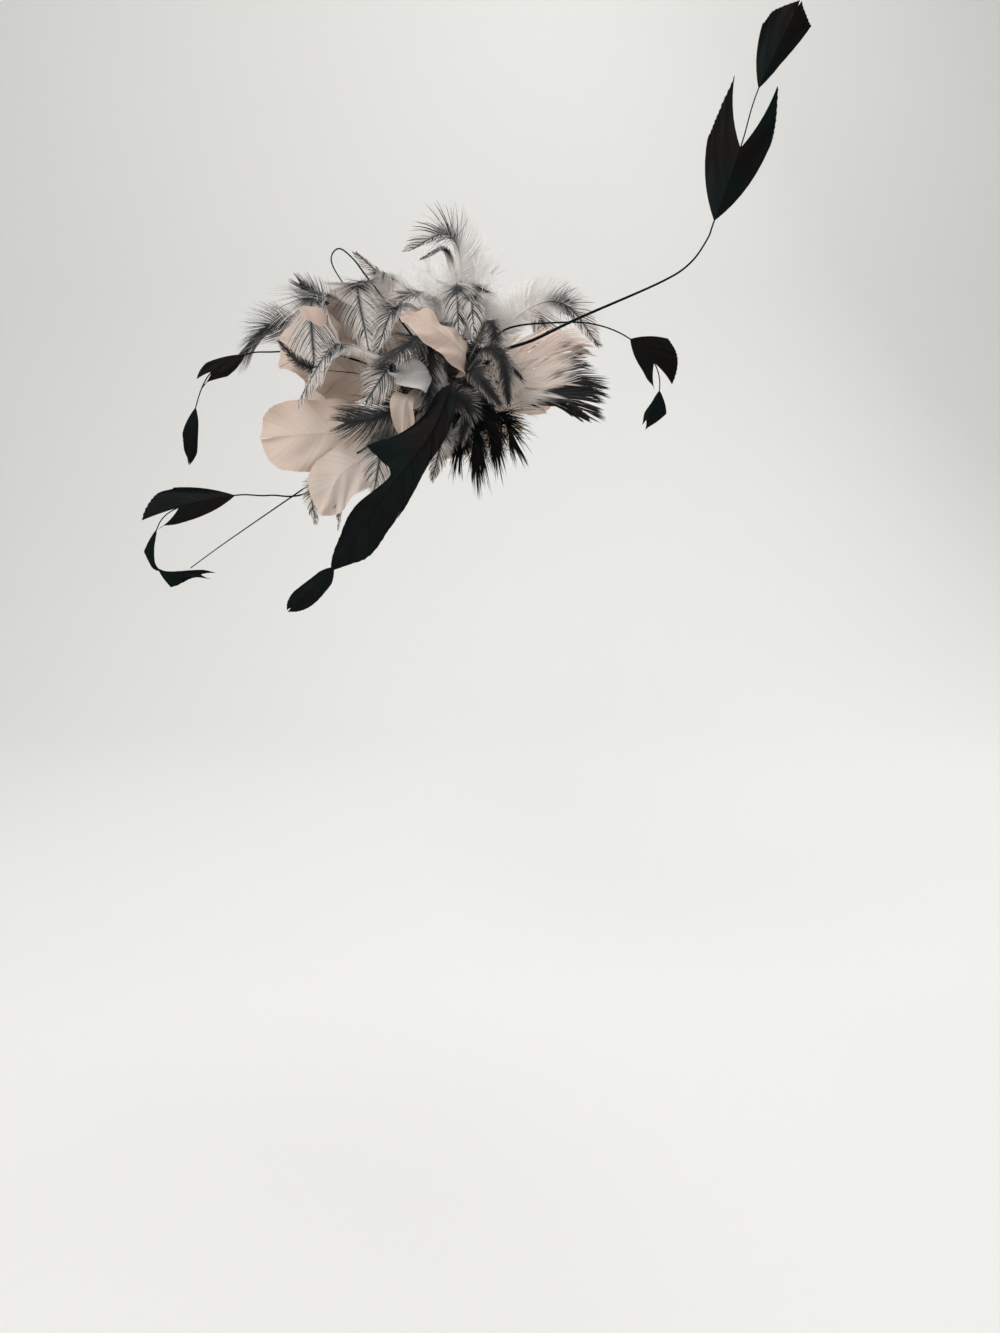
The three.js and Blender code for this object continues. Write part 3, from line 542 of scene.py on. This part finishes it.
# Mm between the rings of a shaft, its sides on a feather and on a sprig, and the share of a
# feather's length where its shaft stops
RING_STEP = 1.6
SHAFT_SIDES = 6
QUILL_SIDES = 10
SHAFT_STOP = 0.985

# Shares of a barb's length where a web and a ribbon have points
WEB = np.array((0, 0.13, 0.28, 0.43, 0.58, 0.73, 0.88, 1))
POINTED = np.array((0, 0.2, 0.42, 0.64, 0.84, 1))


def barb_ink(kind, share, crest, u, lot, strand, tint):
    """Black share of the colour at each point of a barb: share is the barb's place on the shaft, u
    the point's on the barb, and lot and strand are random numbers of the barb and of its lock. A
    hackle is white at its root; at its crest the barbs are black half way out, past it the black
    narrows to a line, and every few barbs are dark hairs. A smoke hackle is black with some pale
    ends, and a blade has black streaks and a black tip."""
    s, v, r, q = share[:, None], u[None, :], lot[:, None], strand[:, None]
    if kind == "hackle":
        rise = smooth(crest - 0.2, crest - 0.03, s)
        fade = smooth(crest, crest + 0.22 * (1 - crest), s)
        reach = 0.03 + tint.get("spread", 0.55) * (1 - fade) * (0.3 + 1.0 * r)
        ink = (1 - smooth(reach * 0.4, reach * 1.3 + 0.03, v)) * rise
        hair = np.where(r < HAIRS[0], 0.98, np.where(r < HAIRS[1], 0.35, 0.0))
        return np.maximum(ink, hair * (0.1 + 0.9 * rise) * smooth(0.0, 0.1, v))
    if kind == "smoke":
        rise = smooth(0.2, 0.42, s)
        pale = np.where(r < tint.get("pale", 0.5), smooth(0.35, 0.9, v), 0.1 * v)
        return rise * (0.99 - 0.9 * pale) + (1 - rise) * 0.8
    if kind == "blade":
        reach, start = s + 0.4 * v, tint["black_from"]
        tip = np.where((r * 5.7) % 1 < 0.12, 0.1, 0.98)
        tip = tip * smooth(-0.05, 0.06, reach - start - 0.3 * (q - 0.5))
        streak = np.where((q * 7.3 + 0.1 * r) % 1 < tint["streak"], 0.95, 0.02)
        return np.maximum(tip, streak * smooth(start - 0.25, start - 0.05, reach))
    return np.full_like(s * v, 1.0 if kind == "lock" else 0.0)


def shaft_ink(kind, share, crest, tint):
    """Black share of a feather's own shaft."""
    if kind == "hackle":
        return 0.97 * smooth(crest - 0.26, crest - 0.08, share)
    if kind == "smoke":
        return 0.25 + 0.75 * smooth(0.15, 0.4, share)
    if kind == "blade":
        return 0.05 + 0.9 * tint["streak"] * smooth(0.7, 1, share)
    return np.full_like(share, 1.0 if kind == "lock" else 0.02)


def sheet(parts, grid, thick, ridge, **values):
    """Closed thin web on a grid of points (row, column, xyz) whose rows go tipwards and whose
    columns go to the right, so that column x row is its upper side. Every other row stands proud
    by ridge, as barbs do. The two faces lie half of thick off the grid, and a strip joins them at
    the rim."""
    lift = unit(np.cross(np.gradient(grid, axis=1), np.gradient(grid, axis=0)))
    count, wide = grid.shape[:2]
    grid = grid + lift * ridge * np.where(np.arange(count) % 2 == 0, 1, -1)[:, None, None]
    half = np.broadcast_to(thick, (count, wide))[..., None] / 2
    cell = np.arange(count - 1)[:, None] * wide + np.arange(wide - 1)
    quad = np.stack((cell, cell + 1, cell + wide + 1, cell + wide), axis=-1).reshape(-1, 4)
    index = np.arange(count * wide).reshape(count, wide)
    rim = np.concatenate((index[0], index[1:, -1], index[-1, -2::-1], index[-2:0:-1, 0]))
    under = count * wide
    strip = np.stack((rim, rim + under, np.roll(rim, -1) + under, np.roll(rim, -1)), axis=-1)

    def spread(value):
        value = np.broadcast_to(value, (count, wide)).reshape(-1)
        return np.concatenate((value, value))
    parts.add(np.concatenate((grid + lift * half, grid - lift * half)),
              [quad, quad[:, ::-1] + under, strip], **{k: spread(v) for k, v in values.items()})


def vane_side(parts, shaft, span, hand, longs, leans, rule, phase, rng, ink, warm):
    """One side of a vane over a span of its shaft: longs and leans give its barbs' length in mm
    and their lean in degrees at evenly spaced shares of the span. A web is one sheet for each
    lock, and otherwise each barb is a ribbon."""
    start, end = span
    run = shaft.length * (end - start)
    number = max(1, round(run / rule["lock"]))
    edges = np.linspace(0, 1, number + 1)
    edges[1:-1] += rng.uniform(-0.35, 0.35, number - 1) / number
    if not rule["web"]:
        count = int(run / rule["pitch"])
        t = (np.arange(count) + rng.uniform(0.3, 0.7, count)) / count
        lock = np.searchsorted(edges[1:-1], t)
        scatter = rng.normal(0, rule["uneven"], count) + rng.normal(0, rule["ragged"], number)[lock]
        long = np.maximum(along(longs, t) * (1 + scatter), SHORTEST)
        share = start + (end - start) * t
        spine, up = barb_spines(shaft, share, np.full(count, hand), long,
                                np.radians(along(leans, t)), lock, phase, rule, rng, POINTED)
        lot = (np.arange(count) * GOLDEN + rng.uniform(0, 0.08, count)) % 1
        strand = rng.uniform(0, 1, number)[lock]
        dyed = ink(share, POINTED, lot, strand)
        width = barb_width(rule, POINTED, count, rng) * (1 + rule["swell"] * dyed)
        ribbons(parts, spine, up, width, ink=dyed, warm=warm, lot=lot[:, None],
                out=POINTED[None, :])
        return
    over = WEB_OVERLAP / run
    for low, high in zip(edges, edges[1:]):
        count = max(4, int(run * (high - low) / rule["pitch"]))
        t = np.linspace(max(low - over, 0), min(high + over, 1), count)
        share = start + (end - start) * t
        edge = 1 + 0.008 * np.sin(t * 70 + phase[0]) + 0.006 * np.sin(t * 190 + phase[1])
        spine, up = barb_spines(shaft, share, np.full(count, hand), along(longs, t) * edge,
                                np.radians(along(leans, t)), np.zeros(count, int), phase, rule,
                                rng, WEB)
        lot = rng.uniform(0, 1, count)
        look = {"ink": ink(share, WEB, lot, lot), "out": np.broadcast_to(WEB, (count, len(WEB)))}
        thick = WEB_THICK * (1 - 0.7 * WEB)
        if hand < 0:
            spine, thick = spine[:, ::-1], thick[::-1]
            look = {k: v[:, ::-1] for k, v in look.items()}
        sheet(parts, spine, thick, WEB_RIDGE, warm=warm, lot=lot[:, None], **look)


def feather(parts, row, rng):
    """One feather of the cluster: its shaft, the barbs of its vane, the down at its root and the
    burst of black barbs at the crest of a wide hackle."""
    kind, rule = row["kind"], KINDS[row["kind"]]
    tint = TINTS.get(row["name"], {})
    warm = tint.get("warm", WARM[kind])
    root = root_point(row["around"], row["up"])
    lead = root + heading(row["around"], row["up"]) * row["reach"]
    shaft = Shaft((root, lead, row["crest"], row["tip"]), row["face"], FEATHER_ANCHOR)
    crest = shaft.share_of(2)
    longest = row["wide"] / 2 / math.sin(math.radians(along(rule["lean"], 0.5)))
    phase = rng.uniform(0, 2 * math.pi, 3)
    span = (tint.get("start", rule["bare"]), 1)
    for hand, part in ((1, row["right"]), (-1, row["left"])):
        longs = longest * part * np.array(rule["barb"])
        vane_side(parts, shaft, span, hand, longs, rule["lean"], rule, phase, rng,
                  lambda s, v, lot, strand: barb_ink(kind, s, crest, v, lot, strand, tint), warm)
    fluff(parts, shaft, rule, rng, DARK_DOWN[kind], (0.3, 1) if kind == "lock" else (0.05, 0.42))
    if kind == "hackle" and row["wide"] > BURST_FROM:
        burst = dict(rule, cup=-0.12, fluff=44, fluff_long=min(0.75 * longest, 15))
        fluff(parts, shaft, burst, rng, 1.0, (crest - 0.07, crest + 0.03))
    thick = rule["thick"] * np.array((1.2, 0.8, 0.45, 0.2 / rule["thick"]))
    tube(parts, shaft, 0, SHAFT_STOP, thick, SHAFT_SIDES,
         ink=lambda s: shaft_ink(kind, s, crest, tint), warm=0.6 * warm, lot=0.5, out=0.0)


def fluff(parts, shaft, rule, rng, dark, span):
    """Downy barbs on all sides of a shaft, over a span of it: loose, curly and of mixed length."""
    count = rule["fluff"]
    loose = dict(rule, stray=14, curl=1.3, bend=35, wave=0.8, tilt=0, rise=0, gather=0,
                 pitch=0.3, wide=(1.0, 0.7, 0.3))
    share = rng.uniform(*span, count)
    hand = rng.choice((-1.0, 1.0), count)
    long = rule["fluff_long"] * rng.uniform(0.5, 1.1, count)
    lean = np.radians(rng.uniform(25, 75, count))
    spine, up = barb_spines(shaft, share, hand, long, lean, np.arange(count), np.zeros(3), loose,
                            rng, POINTED)
    ribbons(parts, spine, up, barb_width(loose, POINTED, count, rng),
            ink=(dark * rng.uniform(0, 1, count)**0.5)[:, None], warm=0.05,
            lot=rng.uniform(0, 1, count)[:, None], out=POINTED[None, :])


def sprig(parts, row, rng):
    """A stripped quill with trimmed leaves on it."""
    points = (root_point(row["around"], row["up"]), *row["points"])
    shaft = Shaft(points, row["face"], SPRIG_ANCHOR)
    thick, tip = row["thick"], row["tip"]
    tube(parts, shaft, 0, 1, (thick, (thick + tip) / 2.4, tip * 0.7, tip * 0.5), QUILL_SIDES,
         ink=1.0, warm=0.0, lot=0.5, out=0.0)
    for leaf in row["leaves"]:
        span = [shaft.share_of(knot) for knot in leaf["span"]]
        phase = rng.uniform(0, 2 * math.pi, 3)
        for hand, side in ((1, "right"), (-1, "left")):
            longs, leans = leaf[side]
            vane_side(parts, shaft, span, hand, longs, leans, LEAF, phase, rng,
                      lambda s, v, lot, strand: np.ones((len(s), len(v))), 0.0)


def lathe(parts, profile, around, **values):
    """Surface of revolution about the seat's +Z: each profile row gives a radius and a height,
    from pole to pole, and a ring is radius times (cos angle, sin angle) at that height."""
    profile = np.asarray(profile, float)
    angle = np.linspace(0, 2 * math.pi, around, endpoint=False)
    body = profile[1:-1]
    rings = np.stack((body[:, :1] * np.cos(angle), body[:, :1] * np.sin(angle),
                      np.repeat(body[:, 1:], around, axis=1)), axis=-1)
    points = np.vstack((rings.reshape(-1, 3), (0, 0, profile[0, 1]), (0, 0, profile[-1, 1])))
    parts.add(points @ SEAT.T, ring_faces(len(body), around), **values)


def fall(r):
    """Fall of the base below its middle at a distance r from its axis: R - sqrt(R^2 - r^2)."""
    radius = BASE["head_radius"]
    return radius - np.sqrt(radius * radius - r * r)


def paleness(y):
    """Pale share of the mound's down at y: none among the front feathers, where the black is partly
    the down's own and partly painted shade for the gaps between them, rising to the back.
    """
    return 0.9 * smooth(-4, 10, y)


class Socket:
    """A shader socket with arithmetic: each operator adds one Math node."""

    def __init__(self, shader, socket):
        self.shader, self.socket = shader, socket

    def _math(self, operation, a, b):
        return self.shader.node("ShaderNodeMath", {"operation": operation}, {0: a, 1: b})

    def __add__(self, other):
        return self._math("ADD", self, other)

    __radd__ = __add__

    def __sub__(self, other):
        return self._math("SUBTRACT", self, other)

    def __rsub__(self, other):
        return self._math("SUBTRACT", other, self)

    def __mul__(self, other):
        return self._math("MULTIPLY", self, other)

    __rmul__ = __mul__

    def __pow__(self, other):
        return self._math("POWER", self, other)


class Shader:
    """A node material. node() makes any node: type, settings, then values or links of sockets."""

    def __init__(self, name):
        self.material = bpy.data.materials.new(name)
        self.material.use_nodes = True
        self.tree = self.material.node_tree
        self.tree.nodes.clear()

    def node(self, kind, settings=None, inputs=None, out=0):
        made = self.tree.nodes.new(kind)
        for key, value in (settings or {}).items():
            if key == "stops":
                ramp = made.color_ramp.elements
                while len(ramp) < len(value):
                    ramp.new(0.5)
                for element, (position, colour) in zip(ramp, value):
                    element.position, element.color = position, (*colour, 1)
            else:
                setattr(made, key, value)
        for key, value in (inputs or {}).items():
            if isinstance(value, Socket):
                self.tree.links.new(value.socket, made.inputs[key])
            elif isinstance(value, tuple) and len(value) == 3 and made.inputs[key].type == "RGBA":
                made.inputs[key].default_value = (*value, 1)
            else:
                made.inputs[key].default_value = value
        return Socket(self, made.outputs[out])

    def mix(self, share, a, b):
        """Mix of two colours by a share."""
        return self.node("ShaderNodeMix", {"data_type": "RGBA"}, {0: share, 6: a, 7: b}, out=2)

    def scale(self, colour, share):
        """Colour made darker or lighter by a factor."""
        return self.node("ShaderNodeVectorMath", {"operation": "SCALE"}, {0: colour, 3: share})

    def bump(self, height, strength, distance):
        return self.node("ShaderNodeBump", {}, {
            "Strength": strength, "Distance": distance, "Height": height})

    def ramp(self, share, *stops):
        """Colour ramp: each stop is a share and a colour."""
        return self.node("ShaderNodeValToRGB", {"stops": stops}, {"Fac": share})

    def value(self, name):
        """A value that the piece carries at its points."""
        return self.node("ShaderNodeAttribute", {"attribute_name": name}, out=2)

    def place(self):
        return self.node("ShaderNodeTexCoord", out=3)

    def noise(self, scale, detail=2.0):
        """Soft noise in object space."""
        return self.node("ShaderNodeTexNoise", {}, {
            "Vector": self.place(), "Scale": scale, "Detail": detail})

    def finish(self, surface, settings=None, through=None, glow=None):
        """Principled surface with linked looks and constant settings, mixed with light that comes
        through from behind in a constant tint, into the output."""
        made = self.node("ShaderNodeBsdfPrincipled", {}, {**surface, **(settings or {})})
        if through is not None:
            back = self.node("ShaderNodeBsdfTranslucent", {}, {"Color": glow})
            made = self.node("ShaderNodeMixShader", {}, {0: through, 1: made, 2: back})
        out = self.tree.nodes.new("ShaderNodeOutputMaterial")
        self.tree.links.new(made.socket, out.inputs["Surface"])
        return self.material


def vane_material(name, pale, blush, mottle, rough, sheen, through, glow):
    """Feather vane: pale colour warmed to blush by the warm value, more so at the rim, dyed black
    by the ink value, each barb a little lighter or darker by its lot, with soft mottling in object
    space. A share of the light comes through where it isn't dyed, in the colour glow."""
    shader = Shader(name)
    cloud = shader.noise(130.0, 3.0)
    fine = shader.noise(900.0)
    ink = shader.value("ink")
    warm = shader.value("warm") * (0.55 + 0.7 * cloud + 0.3 * shader.value("out") ** 3)
    tone = 1.0 - mottle * (1.0 - cloud) - 0.14 * (1.0 - shader.value("lot")) - 0.04 * fine
    lit = shader.scale(shader.mix(warm, pale, blush), tone)
    return shader.finish(
        {"Base Color": shader.mix(ink, lit, BLACK), "Roughness": rough - 0.2 * ink,
         "Normal": shader.bump(fine, 0.25, 0.0002)},
        {"Sheen Weight": sheen, "Sheen Roughness": 0.4, "Specular IOR Level": 0.1},
        through * (1.0 - ink), glow)


def leaf_material(name):
    """Trimmed black vane: near black, tinted green or brown in soft patches, satin on the barbs."""
    shader = Shader(name)
    fine = shader.noise(700.0)
    colour = shader.ramp(shader.noise(35.0), (0.35, (0.005, 0.0036, 0.0028)),
                         (0.5, (0.0035, 0.004, 0.0045)), (0.65, (0.0022, 0.006, 0.005)))
    lit = shader.scale(colour, 0.6 + 0.8 * shader.value("lot"))
    return shader.finish(
        {"Base Color": lit, "Roughness": 0.42 + 0.2 * fine,
         "Normal": shader.bump(fine, 0.2, 0.0002)},
        {"Specular IOR Level": 0.06})


def straw_material(name):
    """Woven straw: two crossing sets of strands in object space, with painted light on the crests
    and painted shade in the hollows between them.
    """
    shader = Shader(name)
    place = shader.place()
    x, y = (shader.node("ShaderNodeSeparateXYZ", {}, {0: place}, out=axis) for axis in (0, 1))
    turns = 0.7 * 2 * math.pi / STRAND
    warp, weft = (shader.node("ShaderNodeMath", {"operation": "SINE"}, {0: line * turns})
                  for line in (x + y, x - y))
    weave = 0.5 + 0.25 * (warp + weft) + 0.15 * (shader.noise(500.0) - 0.5)
    # Colour by the weave's height: painted shade in the hollows, painted light on the crests
    colour = shader.ramp(weave, (0.1, (0.42, 0.29, 0.18)), (0.5, (0.68, 0.53, 0.38)),
                         (0.9, (0.82, 0.70, 0.56)))
    return shader.finish({"Base Color": colour, "Roughness": 0.6 + 0.2 * weave,
                          "Normal": shader.bump(weave, 0.8, 0.0004)})


def comb_material(name):
    """Glossy black moulded plastic with faint scuffs."""
    shader = Shader(name)
    scuff = shader.noise(300.0, 4.0)
    colour = shader.mix(scuff, (0.008, 0.008, 0.009), (0.016, 0.016, 0.018))
    return shader.finish({"Base Color": colour, "Roughness": 0.18 + 0.2 * scuff})


def plain_material(name, colour, rough):
    """Floor and backdrop: one colour with a very soft mottle."""
    shader = Shader(name)
    dim = tuple(0.97 * c for c in colour)
    return shader.finish({"Base Color": shader.mix(shader.noise(3.0), dim, colour),
                          "Roughness": rough})


# Width of a straw strand in metres, and the dyes
STRAND = 0.0016
BLUSH = (0.82, 0.66, 0.56)
BLACK = (0.005, 0.0055, 0.0065)
MATERIALS = {
    "petal": vane_material("blush petal vane", (0.88, 0.85, 0.82), BLUSH,
                           0.12, 0.75, 0.12, 0.35, (0.86, 0.77, 0.70)),
    # The blade vane is a paler copy of the petal vane: partly the blades' paler pink, partly painted
    # light to make up for the shade between their barbs
    "blade": vane_material("blush blade vane", (0.97, 0.94, 0.91), (0.96, 0.80, 0.70),
                           0.03, 0.75, 0.1, 0.5, (0.96, 0.88, 0.82)),
    "hackle": vane_material("laced hackle vane", (0.93, 0.92, 0.905), BLUSH,
                            0.05, 0.8, 0.04, 0.5, (0.95, 0.93, 0.91)),
    "smoke": vane_material("smoke hackle vane", (0.84, 0.81, 0.78), BLUSH,
                           0.14, 0.75, 0.0, 0.3, (0.7, 0.64, 0.6)),
    "down": vane_material("white down", (0.98, 0.98, 0.975), BLUSH,
                          0.02, 0.9, 0.2, 0.85, (0.99, 0.99, 0.98)),
    "lock": leaf_material("trimmed black vane"),
    "straw": straw_material("woven straw"),
    "comb": comb_material("comb plastic"),
}


# First seeds of the feathers and the sprigs, and the mound's seed
FEATHER_SEED, SPRIG_SEED, MOUND_SEED = 100, 300, 500

# Cluster feathers: rows of one name become one piece
tufts = {}
for number, row in enumerate(FEATHERS):
    look = TINTS.get(row["name"], {}).get("look", row["kind"])
    tuft = tufts.setdefault(row["name"], (Parts(), look, KINDS[row["kind"]]["slot"]))
    feather(tuft[0], row, np.random.default_rng(FEATHER_SEED + number))
for name, (parts, look, slot) in tufts.items():
    parts.build(name + "_plume", MATERIALS[look], [name], slot)

for number, row in enumerate(SPRIGS):
    parts = Parts()
    sprig(parts, row, np.random.default_rng(SPRIG_SEED + number))
    parts.build(row["name"] + "_trimmed", MATERIALS["lock"], [row["name"]], "black_feather")

# Straw base: a domed disc with a rounded rim
round_off = BASE["wall"] / 2
rim = BASE["radius"] - round_off
inner = np.linspace(0, rim, 24)
turn = np.linspace(-math.pi / 2, math.pi / 2, 9)[1:-1]
disc_profile = (
    [(r, -fall(r)) for r in inner]
    + [(rim + math.cos(a) * round_off, -fall(rim) + round_off * (1 + math.sin(a))) for a in turn]
    + [(r, BASE["wall"] - fall(r)) for r in inner[::-1]])
parts = Parts()
lathe(parts, disc_profile, 120, lot=0.5)
parts.build("straw_disc", MATERIALS["straw"], ["base_disc"], "straw")

# Mound: a felt ball under a coat of down, black among the front feathers and pale behind. The black
# in front is partly black down and partly painted shade for the dark gaps between the feathers
parts = Parts()
rng = np.random.default_rng(MOUND_SEED)
bottom = BASE["wall"] + GAP
foot = math.sqrt(MOUND["radius"] ** 2 - (MOUND["height"] - bottom - 2) ** 2)
low = math.atan2(bottom - fall(foot) - MOUND["height"], foot)
mound_profile = (
    [(foot * t, bottom - fall(foot * t)) for t in (0, 0.5, 1)]
    + [(MOUND["radius"] * math.cos(a), MOUND["height"] + MOUND["radius"] * math.sin(a))
       for a in np.linspace(low, math.pi / 2, 26)[1:]])
lathe(parts, mound_profile, 48, ink=0.0, warm=0.1, lot=0.3, out=0.0)
# The felt is black in front as painted shade for the gaps between the front feathers, pale behind
parts.values[0]["ink"] = 0.97 - paleness(parts.points[0][:, 1])

# Its down: barbs from random places, each leaving the ball and laid over to one side. lowest is
# where they start along the seat's +Z, in radii, and black the share of black ones in front, which
# are partly black down and partly painted shade between the front feathers.
COAT = {"barbs": 2200, "lowest": -0.45, "long": (4, 9), "longer_behind": 0.9, "black": 0.96}
start = unit(rng.normal(size=(COAT["barbs"], 3)))
start = start[start @ (SEAT @ (0, 0, 1)) > COAT["lowest"]]
count = len(start)
lay = unit(np.cross(start, rng.normal(size=start.shape)))
behind = paleness(start[:, 1] * MOUND["radius"] + MOUND_CENTRE[1])
reach = (rng.uniform(*COAT["long"], count) * (1 + COAT["longer_behind"] * behind))[:, None, None]
u = POINTED[None, :, None]
height = MOUND["radius"] - 0.4 + 0.75 * reach * u * (1 - 0.3 * u)
spine = MOUND_CENTRE + start[:, None] * height + lay[:, None] * reach * 0.7 * u**1.5
# The black barbs in front are partly black down and partly painted shade between the feathers
dyed = np.where(rng.uniform(0, 1, count) < COAT["black"] - behind, 1.0, 0.02)[:, None]
ribbons(parts, spine, np.broadcast_to(unit(np.cross(lay, start))[:, None], spine.shape),
        np.broadcast_to(np.interp(POINTED, (0, 0.5, 1), (0.5, 0.35, 0.1)), spine.shape[:2]),
        ink=dyed, warm=0.1, lot=rng.uniform(0, 1, count)[:, None], out=POINTED[None, :])
parts.build("mound_down", MATERIALS["hackle"], ["feather_mound"], "felt")

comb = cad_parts["hair_comb"]
comb.data.materials.clear()
comb.data.materials.append(MATERIALS["comb"])

# Floor and backdrop in one sweep, in metres: the floor's height, the wall's place, the radius of
# the bend between them, the wall's height and the half width
FLOOR, BACK, SWEEP, HIGH, WIDE = -0.403, 1.5, 0.7, 3.2, 4.0
bend = np.linspace(0, math.pi / 2, 17)
curve = np.stack((BACK - SWEEP + SWEEP * np.sin(bend), FLOOR + SWEEP * (1 - np.cos(bend))), axis=-1)
sweep = np.vstack(((-3.0, FLOOR), curve, (BACK, HIGH)))
left = np.insert(sweep, 0, -WIDE, axis=1)
right = np.insert(sweep, 0, WIDE, axis=1)
mesh = bpy.data.meshes.new("studio sweep")
count = len(sweep)
mesh.from_pydata(np.vstack((left, right)).tolist(), [],
                 [(k, k + count, k + count + 1, k + 1) for k in range(count - 1)])
mesh.polygons.foreach_set("use_smooth", [True] * (count - 1))
mesh.materials.append(plain_material("pale paper", (0.72, 0.715, 0.69), 0.9))
studio = bpy.data.objects.new("studio_sweep", mesh)
bpy.context.scene.collection.objects.link(studio)
studio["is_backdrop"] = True


def area_light(name, place, aim, size, power, colour=(1, 1, 1)):
    """Round soft light at a place in metres, aimed at a point, with its power in watts."""
    lamp = bpy.data.lights.new(name, "AREA")
    lamp.shape = "DISK"
    lamp.size, lamp.energy, lamp.color = size, power, colour
    light = bpy.data.objects.new(name, lamp)
    light.location = place
    light.rotation_euler = (Vector(aim) - Vector(place)).to_track_quat("-Z", "Y").to_euler()
    bpy.context.scene.collection.objects.link(light)


area_light("key", (-0.8, -1.5, 1.1), (0, 0, 0.05), 1.6, 34, (1, 0.985, 0.96))
area_light("top", (0.3, 0.5, 1.5), (0, 0, 0), 1.6, 18)
area_light("rim", (1.0, 0.8, 0.7), (0, 0, 0.05), 0.7, 5)
ROOM_COLOUR, ROOM_STRENGTH = (0.93, 0.95, 1.0, 1), 0.36
world = bpy.data.worlds.new("soft room")
world.use_nodes = True
room = world.node_tree.nodes["Background"].inputs
room["Color"].default_value = ROOM_COLOUR
room["Strength"].default_value = ROOM_STRENGTH
bpy.context.scene.world = world
bpy.context.scene.view_settings.view_transform = "Standard"

# Camera at the photograph's place: sensor in mm, focal length and frame height in pixels
SENSOR, FOCAL, FRAME_HIGH = 36.0, 1000, 1333
CAMERA_DOWN = 12.5
camera = bpy.data.cameras.new("camera")
camera.sensor_width = SENSOR
camera.lens = SENSOR * FOCAL / FRAME_HIGH
eye = bpy.data.objects.new("camera", camera)
eye.location = (0.018, -0.527, -0.006)
eye.rotation_euler = (math.radians(90 - CAMERA_DOWN), 0, 0)
bpy.context.scene.collection.objects.link(eye)
bpy.context.scene.camera = eye

low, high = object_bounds()
